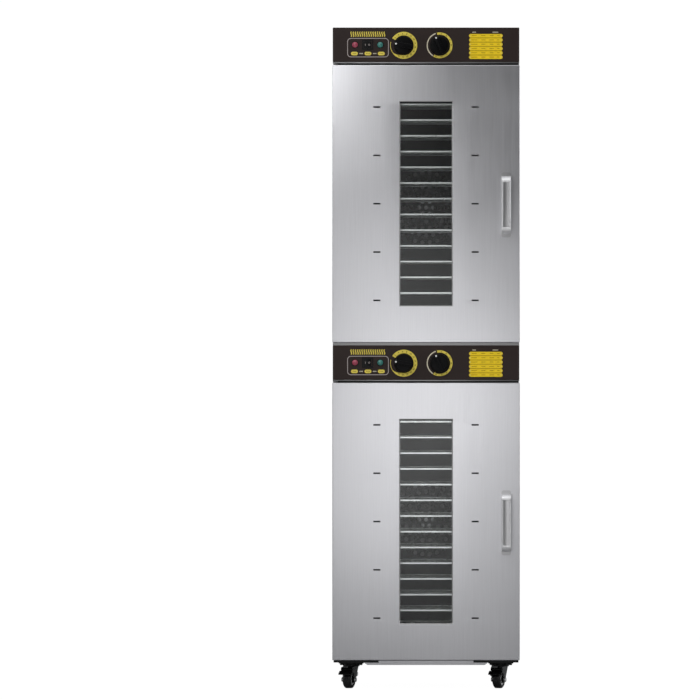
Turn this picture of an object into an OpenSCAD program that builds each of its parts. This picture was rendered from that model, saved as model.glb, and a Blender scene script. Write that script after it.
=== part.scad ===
// Stacked food dehydrator: two steel drying cabinets on a caster base.
// +X is to the right, -Y is the front with the doors, +Z is up.
// The origin is on the floor, under the middle of the unit. All sizes are millimetres.

/* [Cabinet] */
// Width of a cabinet's casing
casing_w = 448; // [430:1:520]
// Height of a cabinet's casing
casing_h = 757; // [600:1:900]
// Depth of a cabinet's casing, behind the door
casing_d = 480; // [420:1:600]
// Sheet thickness of the casing, door skin and rear cover
sheet = 1.2; // [0.8:0.1:2]
// Sheet thickness of the drying chamber and door liner
liner_t = 1; // [0.6:0.1:1.5]
// Air gap and insulation space between the casing and the chamber, on each side
side_gap = 18; // [16:0.5:24]
// Height of the flange below the chamber's floor
sill_h = 22; // [20:0.5:30]
// Height of the flange above the chamber's ceiling, up to the door's top edge
lintel_h = 27; // [20:0.5:40]
// Space behind the chamber for the motor
rear_gap = 34; // [30:0.5:60]
// Height of the plinth that carries the upper cabinet
plinth_h = 6; // [5:0.5:20]

/* [Door] */
// How much wider the door is than the casing
door_overlap = 2; // [0:0.5:6]
// Thickness of the door
door_t = 22; // [20:0.5:30]
// Gap between the closed door and the casing
door_gap = 3.4; // [3:0.1:5]
// Gap over the door
door_top_gap = 4; // [3:0.5:8]
// Gap under the door
door_bottom_gap = 1; // [0.8:0.1:2]
// Width of the window
window_w = 124; // [80:1:200]
// Height of the window
window_h = 488; // [200:1:520]
// Thickness of the window glass
glass_t = 4; // [3:0.5:6]
// How far the glass reaches behind the skin, past each edge of the window
glass_lap = 13; // [8:0.5:20]
// Width of a vent slot
slot_w = 17; // [8:0.5:40]
// Height of a vent slot
slot_h = 3.8; // [2:0.1:8]
// Distance of the slots from the door's middle
slot_x = 118; // [90:1:140]
// Spacing of the slots, one above another
slot_pitch = 116; // [60:1:120]
// Number of slots on each side
slot_count = 5; // [1:1:5]
// Width of the door seal
gasket_w = 10; // [6:0.5:12]
// Distance of the seal from the door's edge
gasket_inset = 8; // [8:0.5:12]
// Distance of the hinge pins from the door's edge
pivot_inset = 8; // [6:0.5:8]
// Distance of the hinge pins behind the door's face
pivot_depth = 12; // [12:0.5:14]
// Radius of a hinge pin
pin_r = 3; // [2:0.1:4]

/* [Handle] */
// Length of the handle with its two feet
handle_l = 156; // [110:1:220]
// Width of the handle
handle_w = 22.4; // [16:0.2:30]
// How far the handle stands out from the door
handle_reach = 32; // [26:0.5:50]
// Thickness of the grip
handle_t = 6; // [4:0.5:9]
// Length of a foot, which lies flat on the door
handle_foot = 9; // [6:0.5:14]
// Length of a sloping end, between a foot and the grip
handle_slope = 10; // [6:0.5:20]
// Distance of the handle's middle from the door's edge
handle_inset = 32.5; // [24:0.5:60]
// How far the handle's middle stands below the door's middle
handle_drop = 3; // [0:0.5:20]

/* [Trays] */
// Height from one tray to the next
tray_pitch = 37.8; // [30:0.1:80]
// Height of the lowest tray over the chamber's floor
first_tray = 19; // [16:0.5:40]
// Least height over the top tray
top_room = 30; // [26:0.5:60]
// Height of a tray's rim
tray_t = 5; // [4:0.5:10]
// Width of a tray's rim
tray_rim = 6; // [4:0.5:12]
// Gap between a tray and each side wall
tray_side_gap = 4; // [2:0.5:6]
// Gap between a tray and the chamber's mouth, and between a tray and the baffle
tray_end_gap = 8; // [5:0.5:12]
// How far a runner stands out from the side wall
runner_w = 12; // [10:0.5:16]
// Thickness of a runner
runner_t = 3; // [2:0.5:5]
// Height of the drip tray's rim
drip_h = 8; // [5:0.5:12]

/* [Control panel] */
// Height of the control panel
fascia_h = 83; // [76:1:100]
// Sheet thickness of the control panel
fascia_t = 1.5; // [1:0.1:2]
// Thickness of the steel ledge under the control panel
ledge_t = 3; // [2:0.5:5]
// Place of the timer dial, to the right of the middle
timer_x = -53.5; // [-60:0.5:-50]
// Place of the thermostat dial, to the right of the middle
thermostat_x = 32.6; // [20:0.5:60]
// Distance of the dials under the panel's top edge
dial_drop = 42.8; // [36:0.2:46]
// Radius of a knob
knob_r = 23.5; // [16:0.5:24]
// Height of a knob's grip over the panel
knob_h = 19; // [14:0.5:24]
// Place of the power switch, to the right of the middle
switch_x = -140.2; // [-150:0.2:-130]
// Distance of the switch and lamps under the panel's top edge
switch_drop = 41.5; // [36:0.5:46]
// Distance of each lamp from the switch's middle
lamp_x = 30.3; // [24:0.1:40]
// Radius of a lamp's lens
lamp_r = 7; // [4:0.5:8]
// Width of the switch's frame
switch_w = 27; // [24:0.5:32]
// Height of the switch's frame
switch_h = 25; // [20:0.5:28]

/* [Fan and heater] */
// Space behind the baffle for the fan
plenum_d = 50; // [46:1:80]
// Radius of the fan
fan_r = 92; // [60:1:120]
// Depth of the fan's blades
fan_d = 22; // [12:1:24]
// Number of blades
blade_count = 6; // [3:1:9]
// Radius of the motor shaft
shaft_r = 4; // [3:0.5:6]
// Radius of the heater's ring
heater_r = 118; // [100:1:150]
// Radius of the heater's tube
heater_tube_r = 4; // [3:0.5:5]
// Length of the motor
motor_l = 46; // [30:1:48]
// How far the rear cover's hump stands out
cover_d = 22; // [20:1:60]
// Width and height of the rear cover's hump
hump_w = 260; // [180:1:300]

/* [Base and casters] */
// Height of the lower casing over the floor
base_h = 68; // [64:1:110]
// Thickness of a corner bracket
bracket_t = 4.5; // [3:0.5:6]
// Height of the base pan
pan_h = 10.5; // [8:0.5:12]
// Width of the base pan
pan_w = 298; // [200:1:298]
// Distance of the casters from the unit's middle
caster_x = 180; // [180:1:190]
// Distance of the casters from the casing's front and rear
caster_inset = 42; // [40:1:80]
// Diameter of a wheel
wheel_d = 42; // [36:1:44]
// Width of a wheel
wheel_w = 21; // [14:0.5:22]
// Distance of the axle from the swivel's axis
trail = 16; // [12:0.5:20]
// Angle that the casters are turned to, towards the front left
caster_turn = 19; // [0:1:45]
// Radius of an axle
axle_r = 3; // [2:0.5:4]

/* [Hidden] */
$fn = 64;

// Clearances
running = 0.05;      // between a shaft or pin and its bore, on the radius
seat = 0.3;          // between pieces that only lie against each other
through = 1;         // how far a cutter passes the face that it cuts

// Colours
steel = "#b9bbbe";
bright_steel = "#d5d7da";
dark_brown = "#362e2c";
black = "#1b1b1c";
plastic_black = "#252526";
brass = "#b79b52";

// Depth: where the layers of the unit begin, from the handle to the rear cover's hump
total_d = handle_reach + door_t + door_gap + casing_d + cover_d;
door_y = -total_d / 2 + handle_reach;
casing_y = door_y + door_t + door_gap;
rear_y = casing_y + casing_d;
chamber_back_y = rear_y - rear_gap;
baffle_y = chamber_back_y - plenum_d;

// Height: z = 0 is the underside of a casing
ledge_z = casing_h - fascia_h - ledge_t;
fascia_z = casing_h - fascia_h;
door_z = door_bottom_gap;
door_w = casing_w + door_overlap;
door_h = ledge_z - door_top_gap - door_bottom_gap;
door_mid_z = door_z + door_h / 2;
chamber_w = casing_w - 2 * side_gap;
chamber_top = door_z + door_h - lintel_h;
chamber_mid_z = (sill_h + chamber_top) / 2;
control_z = casing_h - switch_drop;
dial_z = casing_h - dial_drop;
function cabinet_z(level) = base_h + level * (casing_h + plinth_h);

// Trays
tray_w = chamber_w - 2 * tray_side_gap;
tray_d = baffle_y - casing_y - 2 * tray_end_gap;
tray_y = casing_y + tray_end_gap;
tray_count = floor((chamber_top - top_room - sill_h - first_tray) / tray_pitch) + 1;
function tray_z(level) = sill_h + first_tray + level * tray_pitch;
mesh_t = 1.6;
mesh_bar = 3;
mesh_cells = [8, 6];

// Door furniture
gasket_t = door_gap - seat;
catch_inset = 60;
catch_w = 44;
magnet_w = 36;
handle_x = door_w / 2 - handle_inset;
handle_z = door_mid_z - handle_drop;
handle_foot_t = 3;
handle_post = 9;
pivot_x = -door_w / 2 + pivot_inset;
pivot_y = door_y + pivot_depth;
pivot_block = [14, 14, 11];
screw_r = 2;
screw_head_r = 4;
screw_head_h = 2.4;

// Controls
spindle_r = 3;
bush_r = 5;
knob_gap = 1;
knob_skirt_h = 4;
knob_recess_r = 9;
knob_recess_h = 3.2;
knob_grip_w = 11;
timer_turn = 80;        // the pointer's turn to the left of straight up
thermostat_turn = 26;
unit_w = 42;
unit_d = 28;
switch_body_w = switch_w - 2.4;
switch_body_h = switch_h - 4.4;
switch_bezel_t = 2;
rocker_w = switch_body_w - 6;
rocker_h = switch_body_h - 4;
rocker_pivot_r = 1.2;
rocker_depth = 5;
rocker_tilt = 7;
lamp_body_r = lamp_r - 1;
lamp_rim = 1.4;
bulb_r = 3;
bulb_l = 60;
capillary_r = 1;

// Fan and heating element
motor_flange = 110;
motor_box = [100, 60];
heater_leg_x = 18;
heater_leg_z = chamber_mid_z - sqrt(heater_r * heater_r - heater_leg_x * heater_leg_x);
heater_clip_w = 60;

// Rear
hump_z = chamber_mid_z;
louvre_w = 60;
louvre_h = 5;
louvre_pitch = 18;
louvre_rows = 9;
inlet_w = 48;
inlet_h = 28;
inlet_body_w = inlet_w - 9;
inlet_body_h = inlet_h - 5;
inlet_inset = 60;
inlet_x = casing_w / 2 - inlet_inset;
inlet_z = 60;
rear_flange = 12;
cover_screw_rows = 4;

// Casters
plate_t = 3.5;
plate_size = [60, 66];
plate_bolts = [22, 26];
bolt_r = 3;
bolt_head_r = 5;
bolt_head_h = 4;
bracket_in = 114;
bracket_out = casing_w / 2 - 2;
bracket_d = 110;
plate_z = base_h - bracket_t - plate_t;
race_h = 3;
crown_h = 4.2;
crown_z = plate_z - race_h - seat - crown_h;
race_r = 21;
kingpin_r = 5;
cheek_gap = wheel_w / 2 + 1.5;
cheek_t = 2.5;
axle_z = wheel_d / 2;
pedal_y = -trail - 13;
pedal_z = wheel_d + 4;
pedal_pin_r = 2;

// ---------- helpers ----------

module block(low, high) { translate(low) cube(high - low); }

// Puts its children in one cabinet: 0 is the lower one, 1 the upper one
module in_cabinet(level) { translate([0, 0, cabinet_z(level)]) children(); }

module in_both() { for (level = [0, 1]) in_cabinet(level) children(); }

// Turns its children's +Z to the front
module facing_front(x, y, z) { translate([x, y, z]) rotate([90, 0, 0]) children(); }

// Turns its children's +Z to the rear
module facing_rear(x, y, z) { translate([x, y, z]) rotate([-90, 0, 0]) children(); }

module round_square(size, r) {
    union() {
        square([size[0], size[1] - 2 * r], center = true);
        square([size[0] - 2 * r, size[1]], center = true);
        for (x = [-1, 1], y = [-1, 1])
            translate([x * (size[0] / 2 - r), y * (size[1] / 2 - r)]) circle(r);
    }
}

// A quarter of a torus, from the -Z side of the origin's bend round to +X
module elbow(bend_r, tube_r) {
    translate([bend_r, 0, 0]) rotate([90, 0, 0]) rotate([0, 0, 90])
        rotate_extrude(angle = 90) translate([bend_r, 0]) circle(tube_r);
}

module screw(length, r = screw_r, head_r = screw_head_r, head_h = screw_head_h) {
    union() {
        cylinder(r = head_r, h = head_h);
        translate([0, 0, -length]) cylinder(r = r, h = length + 0.01);
    }
}

// ---------- casing ----------

function cover_screw_z(row) = rear_flange / 2 + row * (casing_h - rear_flange) / (cover_screw_rows - 1);

module at_cover_screws() {
    for (side = [-1, 1], row = [0 : cover_screw_rows - 1])
        facing_rear(side * (casing_w / 2 - rear_flange / 2), rear_y, cover_screw_z(row)) children();
}

module casing() {
    half = casing_w / 2;
    color(steel) difference() {
        union() {
            block([-half, casing_y, 0], [half, rear_y, casing_h]);
            block([-half, door_y + 1, ledge_z], [half, casing_y + through, ledge_z + ledge_t]);
        }
        // hollow inside
        block([-half + sheet, casing_y + sheet, sheet], [half - sheet, rear_y - sheet, casing_h - sheet]);
        // mouth of the chamber
        block([-chamber_w / 2, casing_y - through, sill_h],
              [chamber_w / 2, casing_y + sheet + through, chamber_top]);
        // opening behind the control panel
        block([-half + 24, casing_y - through, fascia_z + 3],
              [half - 24, casing_y + sheet + through, casing_h - 6]);
        // open rear, inside the flange
        block([-half + rear_flange, rear_y - sheet - through, rear_flange],
              [half - rear_flange, rear_y + through, casing_h - rear_flange]);
        // hole of the top hinge pin
        translate([pivot_x, pivot_y, ledge_z - through])
            cylinder(r = pin_r + running, h = ledge_t + 2 * through);
        at_cover_screws() translate([0, 0, -6]) cylinder(r = screw_r + running, h = 12);
    }
}

module stacking_plinth() {
    color(steel) difference() {
        block([-casing_w / 2, door_y + 2, -plinth_h], [casing_w / 2, rear_y, 0]);
        block([-casing_w / 2 + 30, casing_y + 24, -plinth_h - through],
              [casing_w / 2 - 30, rear_y - 30, through]);
        translate([pivot_x, pivot_y, -plinth_h - through])
            cylinder(r = pin_r + running, h = plinth_h + 2 * through);
    }
}

// The rear cover closes the casing, and its hump makes room for the motor
module rear_cover() {
    half = casing_w / 2;
    hump_y = rear_y + sheet + seat;
    hump_in = hump_w / 2 - sheet;
    color(steel) {
        // flat sheet, open behind the hump
        difference() {
            block([-half, rear_y, 0], [half, rear_y + sheet, casing_h]);
            block([-hump_in, rear_y - through, hump_z - hump_in],
                  [hump_in, rear_y + 2 * sheet, hump_z + hump_in]);
            block([inlet_x - inlet_body_w / 2 - seat, rear_y - through, inlet_z - inlet_body_h / 2 - seat],
                  [inlet_x + inlet_body_w / 2 + seat, rear_y + 2 * sheet, inlet_z + inlet_body_h / 2 + seat]);
            at_cover_screws() translate([0, 0, -2]) cylinder(r = screw_r + running, h = 6);
        }
        // hump, which clears the motor
        difference() {
            block([-hump_w / 2, hump_y, hump_z - hump_w / 2],
                  [hump_w / 2, rear_y + cover_d, hump_z + hump_w / 2]);
            block([-hump_in, hump_y - through, hump_z - hump_in],
                  [hump_in, rear_y + cover_d - sheet, hump_z + hump_in]);
            for (side = [-1, 1], row = [0 : louvre_rows - 1])
                translate([side * hump_w / 4, rear_y + cover_d,
                           hump_z + (row - (louvre_rows - 1) / 2) * louvre_pitch])
                    cube([louvre_w, 4 * sheet, louvre_h], center = true);
        }
    }
}

// ---------- chamber ----------

module chamber_liner() {
    half = chamber_w / 2;
    color(steel) difference() {
        block([-half - liner_t, casing_y + sheet, sill_h - liner_t],
              [half + liner_t, chamber_back_y + liner_t, chamber_top + liner_t]);
        block([-half, casing_y, sill_h], [half, chamber_back_y, chamber_top]);
        // motor shaft
        facing_rear(0, chamber_back_y - through, chamber_mid_z) cylinder(r = shaft_r + 4, h = 4);
        // heater's two ends
        for (x = [-1, 1])
            facing_rear(x * heater_leg_x, chamber_back_y - through, heater_leg_z)
                cylinder(r = heater_tube_r + 1, h = 4);
        // thermostat's bulb
        translate([thermostat_x, chamber_back_y - plenum_d / 2, chamber_top - through])
            cylinder(r = bulb_r + running, h = 4);
    }
}

module tray_runners() {
    color(bright_steel)
        for (side = [-1, 1], level = [0 : tray_count - 1])
            translate([side * (chamber_w - runner_w) / 2, tray_y + tray_d / 2, tray_z(level) - runner_t / 2])
                cube([runner_w, tray_d - 8, runner_t], center = true);
}

module tray() {
    cell_w = (tray_w - 2 * tray_rim - (mesh_cells[0] - 1) * mesh_bar) / mesh_cells[0];
    cell_d = (tray_d - 2 * tray_rim - (mesh_cells[1] - 1) * mesh_bar) / mesh_cells[1];
    union() {
        linear_extrude(tray_t) difference() {
            square([tray_w, tray_d], center = true);
            square([tray_w - 2 * tray_rim, tray_d - 2 * tray_rim], center = true);
        }
        translate([0, 0, tray_t - mesh_t]) linear_extrude(mesh_t) difference() {
            square([tray_w - tray_rim, tray_d - tray_rim], center = true);
            for (i = [0 : mesh_cells[0] - 1], j = [0 : mesh_cells[1] - 1])
                translate([(i - (mesh_cells[0] - 1) / 2) * (cell_w + mesh_bar),
                           (j - (mesh_cells[1] - 1) / 2) * (cell_d + mesh_bar)])
                    square([cell_w, cell_d], center = true);
        }
    }
}

module trays() {
    color(bright_steel)
        for (level = [0 : tray_count - 1])
            translate([0, tray_y + tray_d / 2, tray_z(level)]) tray();
}

module drip_tray() {
    w = chamber_w - 10;
    color(steel) difference() {
        block([-w / 2, tray_y, sill_h], [w / 2, tray_y + tray_d, sill_h + drip_h]);
        block([-w / 2 + liner_t, tray_y + liner_t, sill_h + liner_t],
              [w / 2 - liner_t, tray_y + tray_d - liner_t, sill_h + drip_h + through]);
    }
}

// Perforated panel between the trays and the fan
module fan_baffle() {
    hole_r = 5;
    hole_pitch = 17;
    rings = floor(fan_r / hole_pitch);
    slots = 9;
    h = chamber_top - sill_h;
    color(steel) facing_front(0, baffle_y + sheet, chamber_mid_z) linear_extrude(sheet) difference() {
        square([chamber_w, h], center = true);
        circle(hole_r);
        for (ring = [1 : rings], i = [0 : 6 * ring - 1])
            rotate(60 / ring * i) translate([ring * hole_pitch, 0]) circle(hole_r);
        for (side = [-1, 1], i = [0 : slots - 1])
            translate([side * (chamber_w / 2 - 28), (i - (slots - 1) / 2) * h / (slots + 0.5)])
                square([8, h / (slots + 0.5) - 16], center = true);
    }
}

// ---------- fan and heater ----------

fan_y = chamber_back_y - 6;   // rear face of the fan's hub

module fan_impeller() {
    hub_r = 18;
    color(bright_steel) {
        facing_front(0, fan_y, chamber_mid_z) difference() {
            union() {
                cylinder(r = hub_r, h = fan_d);
                for (i = [0 : blade_count - 1])
                    rotate([0, 0, i * 360 / blade_count])
                        translate([(hub_r - 2 + fan_r) / 2, 0, fan_d / 2])
                            rotate([38, 0, 0])
                                cube([fan_r - hub_r + 2, fan_d * 1.1, 1.5], center = true);
            }
            translate([0, 0, -through]) cylinder(r = shaft_r + running / 2, h = fan_d - 4);
        }
        facing_front(0, chamber_back_y + liner_t + 22, chamber_mid_z)
            cylinder(r = shaft_r, h = 22 + liner_t + 6 + fan_d - 8);
    }
}

module fan_motor() {
    color(plastic_black) facing_rear(0, chamber_back_y + liner_t, chamber_mid_z) difference() {
        union() {
            linear_extrude(3) round_square([motor_flange, motor_flange], 10);
            cylinder(r = 44, h = motor_l - 6);
            translate([0, 0, motor_l - 7]) cylinder(r = 34, h = 7);
            translate([-motor_box[0] / 2, -motor_box[1] / 2, 10]) cube([motor_box[0], motor_box[1], 22]);
        }
        translate([0, 0, -through]) cylinder(r = shaft_r + running, h = 24 + through);
    }
}

module heating_element() {
    ring_y = baffle_y + sheet + 12;
    leg = chamber_back_y + liner_t + 14 - ring_y;
    color("#8a7f78") union() {
        facing_front(0, ring_y, chamber_mid_z)
            rotate_extrude() translate([heater_r, 0]) circle(heater_tube_r);
        for (x = [-1, 1])
            facing_rear(x * heater_leg_x, ring_y, heater_leg_z) cylinder(r = heater_tube_r - 0.6, h = leg);
        facing_rear(0, chamber_back_y - 2.4, heater_leg_z)
            translate([-heater_clip_w / 2, -9, 0]) cube([heater_clip_w, 18, 2.4 - seat]);
    }
}

// ---------- door ----------

module at_slots() {
    for (side = [-1, 1], row = [0 : slot_count - 1])
        translate([side * slot_x, 0, door_mid_z + (row - (slot_count - 1) / 2) * slot_pitch]) children();
}

module at_handle_screws() {
    for (end = [-1, 1])
        translate([handle_x, 0, handle_z + end * (handle_l / 2 - handle_foot - handle_post / 2 - 1)])
            children();
}

module door_skin() {
    half = door_w / 2;
    color(steel) difference() {
        union() {
            difference() {
                block([-half, door_y, door_z], [half, door_y + door_t, door_z + door_h]);
                block([-half + sheet, door_y + sheet, door_z + sheet],
                      [half - sheet, door_y + door_t + through, door_z + door_h - sheet]);
            }
            // blocks that take the hinge pins, in the top and bottom corners
            for (z = [door_z, door_z + door_h - pivot_block[2]])
                translate([pivot_x - pivot_block[0] / 2, pivot_y - pivot_block[1] / 2, z]) cube(pivot_block);
        }
        translate([-window_w / 2, door_y - through, door_mid_z - window_h / 2])
            cube([window_w, sheet + 2 * through, window_h]);
        at_slots() translate([-slot_w / 2, door_y - through, -slot_h / 2])
            cube([slot_w, sheet + 2 * through, slot_h]);
        for (z = [door_z - through, door_z + door_h - pivot_block[2] - through])
            translate([pivot_x, pivot_y, z]) cylinder(r = pin_r + running, h = pivot_block[2] + 2 * through);
        at_handle_screws() facing_rear(0, door_y - through, 0) cylinder(r = screw_r + 0.2, h = 4);
    }
}

// Inner panel, with a frame round the window that holds the glass against the skin
module door_liner() {
    half = door_w / 2 - sheet - seat;
    low = door_z + sheet + seat;
    high = door_z + door_h - sheet - seat;
    back_y = door_y + door_t;
    frame_w = window_w + glass_lap;
    frame_h = window_h + glass_lap;
    color(steel) difference() {
        union() {
            block([-half, back_y - liner_t, low], [half, back_y, high]);
            translate([-frame_w / 2 - liner_t, door_y + sheet + glass_t, door_mid_z - frame_h / 2 - liner_t])
                cube([frame_w + 2 * liner_t, door_t - sheet - glass_t, frame_h + 2 * liner_t]);
        }
        translate([-frame_w / 2, door_y, door_mid_z - frame_h / 2])
            cube([frame_w, door_t + through, frame_h]);
        at_slots() translate([-slot_w / 2, back_y - liner_t - through, -slot_h / 2])
            cube([slot_w, liner_t + 2 * through, slot_h]);
    }
}

module window_glass() {
    color([0.35, 0.4, 0.42, 0.35])
        translate([-window_w / 2 - glass_lap, door_y + sheet, door_mid_z - window_h / 2 - glass_lap])
            cube([window_w + 2 * glass_lap, glass_t, window_h + 2 * glass_lap]);
}

module door_gasket() {
    outer = [door_w - 2 * gasket_inset, door_h - 2 * gasket_inset];
    color("#d8d8d4") facing_front(0, door_y + door_t + gasket_t, door_mid_z)
        linear_extrude(gasket_t) difference() {
            square(outer, center = true);
            square([outer[0] - 2 * gasket_w, outer[1] - 2 * gasket_w], center = true);
        }
}

// Bridge handle with sloping ends, feet flat on the door and a shallow channel down the grip,
// and the two screws that hold it from inside the door
module door_handle() {
    half = handle_l / 2;
    top = half - handle_foot;
    front = handle_reach;
    back = handle_reach - handle_t;
    back_top = top - handle_slope * (back - handle_foot_t) / (front - handle_foot_t) - handle_post;
    channel_w = handle_w * 0.68;
    channel_l = 2 * (top - handle_slope - 4);
    color(bright_steel) {
        difference() {
            translate([handle_x - handle_w / 2, door_y, handle_z])
                rotate([90, 0, 90]) linear_extrude(handle_w)
                    polygon([[0, half], [-handle_foot_t, half], [-handle_foot_t, top],
                             [-front, top - handle_slope], [-front, handle_slope - top],
                             [-handle_foot_t, -top], [-handle_foot_t, -half], [0, -half],
                             [0, handle_post - top], [-back, -back_top],
                             [-back, back_top], [0, top - handle_post]]);
            translate([handle_x - channel_w / 2, door_y - front - through, handle_z - channel_l / 2])
                cube([channel_w, 1.6 + through, channel_l]);
            at_handle_screws() facing_front(0, door_y + through, 0) cylinder(r = screw_r + running, h = 8);
        }
        at_handle_screws() facing_rear(0, door_y + sheet + 0.02, 0) screw(8);
    }
}

// The top pin hangs from the ledge, and the bottom pin stands on the plinth or bracket
module hinge_pins() {
    collar_r = 5;
    top_z = door_z + door_h;
    reach = pivot_block[2] - 2;
    color(bright_steel) in_both() translate([pivot_x, pivot_y, 0]) {
        union() {
            translate([0, 0, top_z - reach]) cylinder(r = pin_r, h = reach + door_top_gap + ledge_t);
            translate([0, 0, top_z + seat]) cylinder(r = collar_r, h = door_top_gap - seat);
        }
        union() {
            translate([0, 0, -min(plinth_h, bracket_t)])
                cylinder(r = pin_r, h = reach + door_bottom_gap + min(plinth_h, bracket_t));
            cylinder(r = collar_r, h = door_bottom_gap - seat);
        }
    }
}

// Magnet under the chamber's ceiling that holds the door shut
module magnetic_catch() {
    catch_x = chamber_w / 2 - catch_inset;
    color(plastic_black) union() {
        block([catch_x - catch_w / 2, casing_y - gasket_t + 2, chamber_top - 12],
              [catch_x + catch_w / 2, casing_y + 16, chamber_top]);
        block([catch_x - magnet_w / 2, casing_y - gasket_t, chamber_top - 10],
              [catch_x + magnet_w / 2, casing_y - gasket_t + 2 + through, chamber_top - 2]);
    }
}

// ---------- controls ----------

module control_fascia() {
    half = casing_w / 2;
    color(dark_brown) difference() {
        block([-half, door_y, fascia_z], [half, casing_y, casing_h]);
        block([-half + fascia_t, door_y + fascia_t, fascia_z + fascia_t],
              [half - fascia_t, casing_y + through, casing_h - fascia_t]);
        for (x = [timer_x, thermostat_x])
            facing_front(x, door_y + fascia_t + through, dial_z)
                cylinder(r = bush_r + 0.2, h = fascia_t + 2 * through);
        for (side = [-1, 1])
            facing_front(switch_x + side * lamp_x, door_y + fascia_t + through, control_z)
                cylinder(r = lamp_body_r + 0.2, h = fascia_t + 2 * through);
        translate([switch_x - switch_body_w / 2 - 0.2, door_y - through, control_z - switch_body_h / 2 - 0.2])
            cube([switch_body_w + 0.4, fascia_t + 2 * through, switch_body_h + 0.4]);
    }
}

// Knob on its spindle. The pointer's turn is counted to the left of straight up
module knob(x, turn) {
    color(plastic_black) facing_front(x, door_y - knob_gap, dial_z) rotate([0, 0, turn]) difference() {
        union() {
            cylinder(r = knob_r, h = knob_skirt_h);
            translate([0, 0, knob_skirt_h - 0.01]) cylinder(r = knob_r - 2, h = 5);
            intersection() {
                cylinder(r = knob_r - 1, h = knob_h - knob_gap);
                translate([-knob_grip_w / 2, -knob_r, 0]) cube([knob_grip_w, 2 * knob_r, knob_h]);
            }
        }
        translate([0, 0, -through]) cylinder(r = knob_recess_r, h = knob_recess_h + through);
        cylinder(r = spindle_r + running / 2, h = knob_h - 6);
    }
    color(bright_steel) facing_front(x, door_y + 16, dial_z) cylinder(r = spindle_r, h = 16 + knob_h - 7);
}

// Clockwork timer: threaded bush through the panel, nut in front, case behind
module timer() {
    color("#c9c2b0") facing_rear(timer_x, door_y - knob_gap - 1.6, dial_z) difference() {
        union() {
            cylinder(r = bush_r, h = knob_gap + 1.6 + fascia_t + 0.01);
            cylinder(r = 8, h = 1.6 + knob_gap - seat, $fn = 6);
            translate([0, 0, knob_gap + 1.6 + fascia_t]) cylinder(r = unit_w / 2, h = unit_d);
            translate([-8, unit_w / 2 - 6, knob_gap + 1.6 + fascia_t]) cube([16, 14, 4]);
        }
        translate([0, 0, -through]) cylinder(r = spindle_r + running, h = 18 + knob_gap + through);
    }
}

// Thermostat: case behind the panel, and a bulb on a capillary tube that reaches the fan space
module thermostat() {
    case_y = door_y + fascia_t;
    tube_y = case_y + unit_d;
    bulb_y = chamber_back_y - plenum_d / 2;
    bend = 12;
    color("#b8b2a4") union() {
        difference() {
            union() {
                facing_rear(thermostat_x, door_y - knob_gap - 1.6, dial_z) {
                    cylinder(r = bush_r, h = knob_gap + 1.6 + fascia_t + 0.01);
                    cylinder(r = 8, h = 1.6 + knob_gap - seat, $fn = 6);
                }
                block([thermostat_x - unit_w / 2, case_y, dial_z - 20],
                      [thermostat_x + unit_w / 2, tube_y, dial_z + 20]);
            }
            facing_rear(thermostat_x, door_y - knob_gap - 1.6 - through, dial_z)
                cylinder(r = spindle_r + running, h = 18 + knob_gap + 2 * through);
        }
        facing_rear(thermostat_x, tube_y - 0.5, dial_z)
            cylinder(r = capillary_r, h = bulb_y - bend - tube_y + 0.5);
        translate([thermostat_x, bulb_y, dial_z - bend]) rotate([0, 0, -90]) elbow(bend, capillary_r);
        translate([thermostat_x, bulb_y, chamber_top + 8])
            cylinder(r = capillary_r, h = dial_z - bend - chamber_top - 8);
        translate([thermostat_x, bulb_y, chamber_top + 10 - bulb_l]) cylinder(r = bulb_r, h = bulb_l);
    }
}

module switch_housing() {
    color(black) translate([switch_x, door_y, control_z]) difference() {
        union() {
            block([-switch_w / 2, -switch_bezel_t, -switch_h / 2], [switch_w / 2, 0, switch_h / 2]);
            block([-switch_body_w / 2, -0.01, -switch_body_h / 2],
                  [switch_body_w / 2, 20, switch_body_h / 2]);
        }
        block([-rocker_w / 2 - 1.5, -switch_bezel_t - through, -rocker_h / 2 - seat],
              [rocker_w / 2 + 1.5, 12, rocker_h / 2 + seat]);
        translate([0, rocker_depth, -rocker_h / 2 - 1.4])
            cylinder(r = rocker_pivot_r + running, h = rocker_h + 2.8);
    }
}

// Rocker, tipped to its off side
module switch_rocker() {
    face = -rocker_depth - switch_bezel_t;
    color(plastic_black) translate([switch_x, door_y + rocker_depth, control_z])
        rotate([0, 0, -rocker_tilt]) union() {
            translate([0, 0, -rocker_h / 2]) linear_extrude(rocker_h)
                polygon([[-rocker_w / 2, face - 0.6], [0, face + 0.8], [rocker_w / 2, face - 0.6],
                         [rocker_w / 2 - 1, face + 4.4], [3, 2.4], [-3, 2.4],
                         [-rocker_w / 2 + 1, face + 4.4]]);
            translate([0, 0, -rocker_h / 2 - 1.2]) cylinder(r = rocker_pivot_r, h = rocker_h + 2.4);
        }
}

module pilot_lamp(side) {
    dome_h = 4;
    color(side < 0 ? "#b3243a" : "#1f8f74")
        facing_front(switch_x + side * lamp_x, door_y, control_z) union() {
            cylinder(r = lamp_r + lamp_rim, h = 1.4);
            rotate_extrude() intersection() {
                translate([0, 1.4 + dome_h - (lamp_r * lamp_r + dome_h * dome_h) / (2 * dome_h)])
                    circle((lamp_r * lamp_r + dome_h * dome_h) / (2 * dome_h));
                translate([0, 1.3]) square([lamp_r, dome_h + 1]);
            }
            translate([0, 0, -22]) cylinder(r = lamp_body_r, h = 22.01);
        }
}

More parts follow.
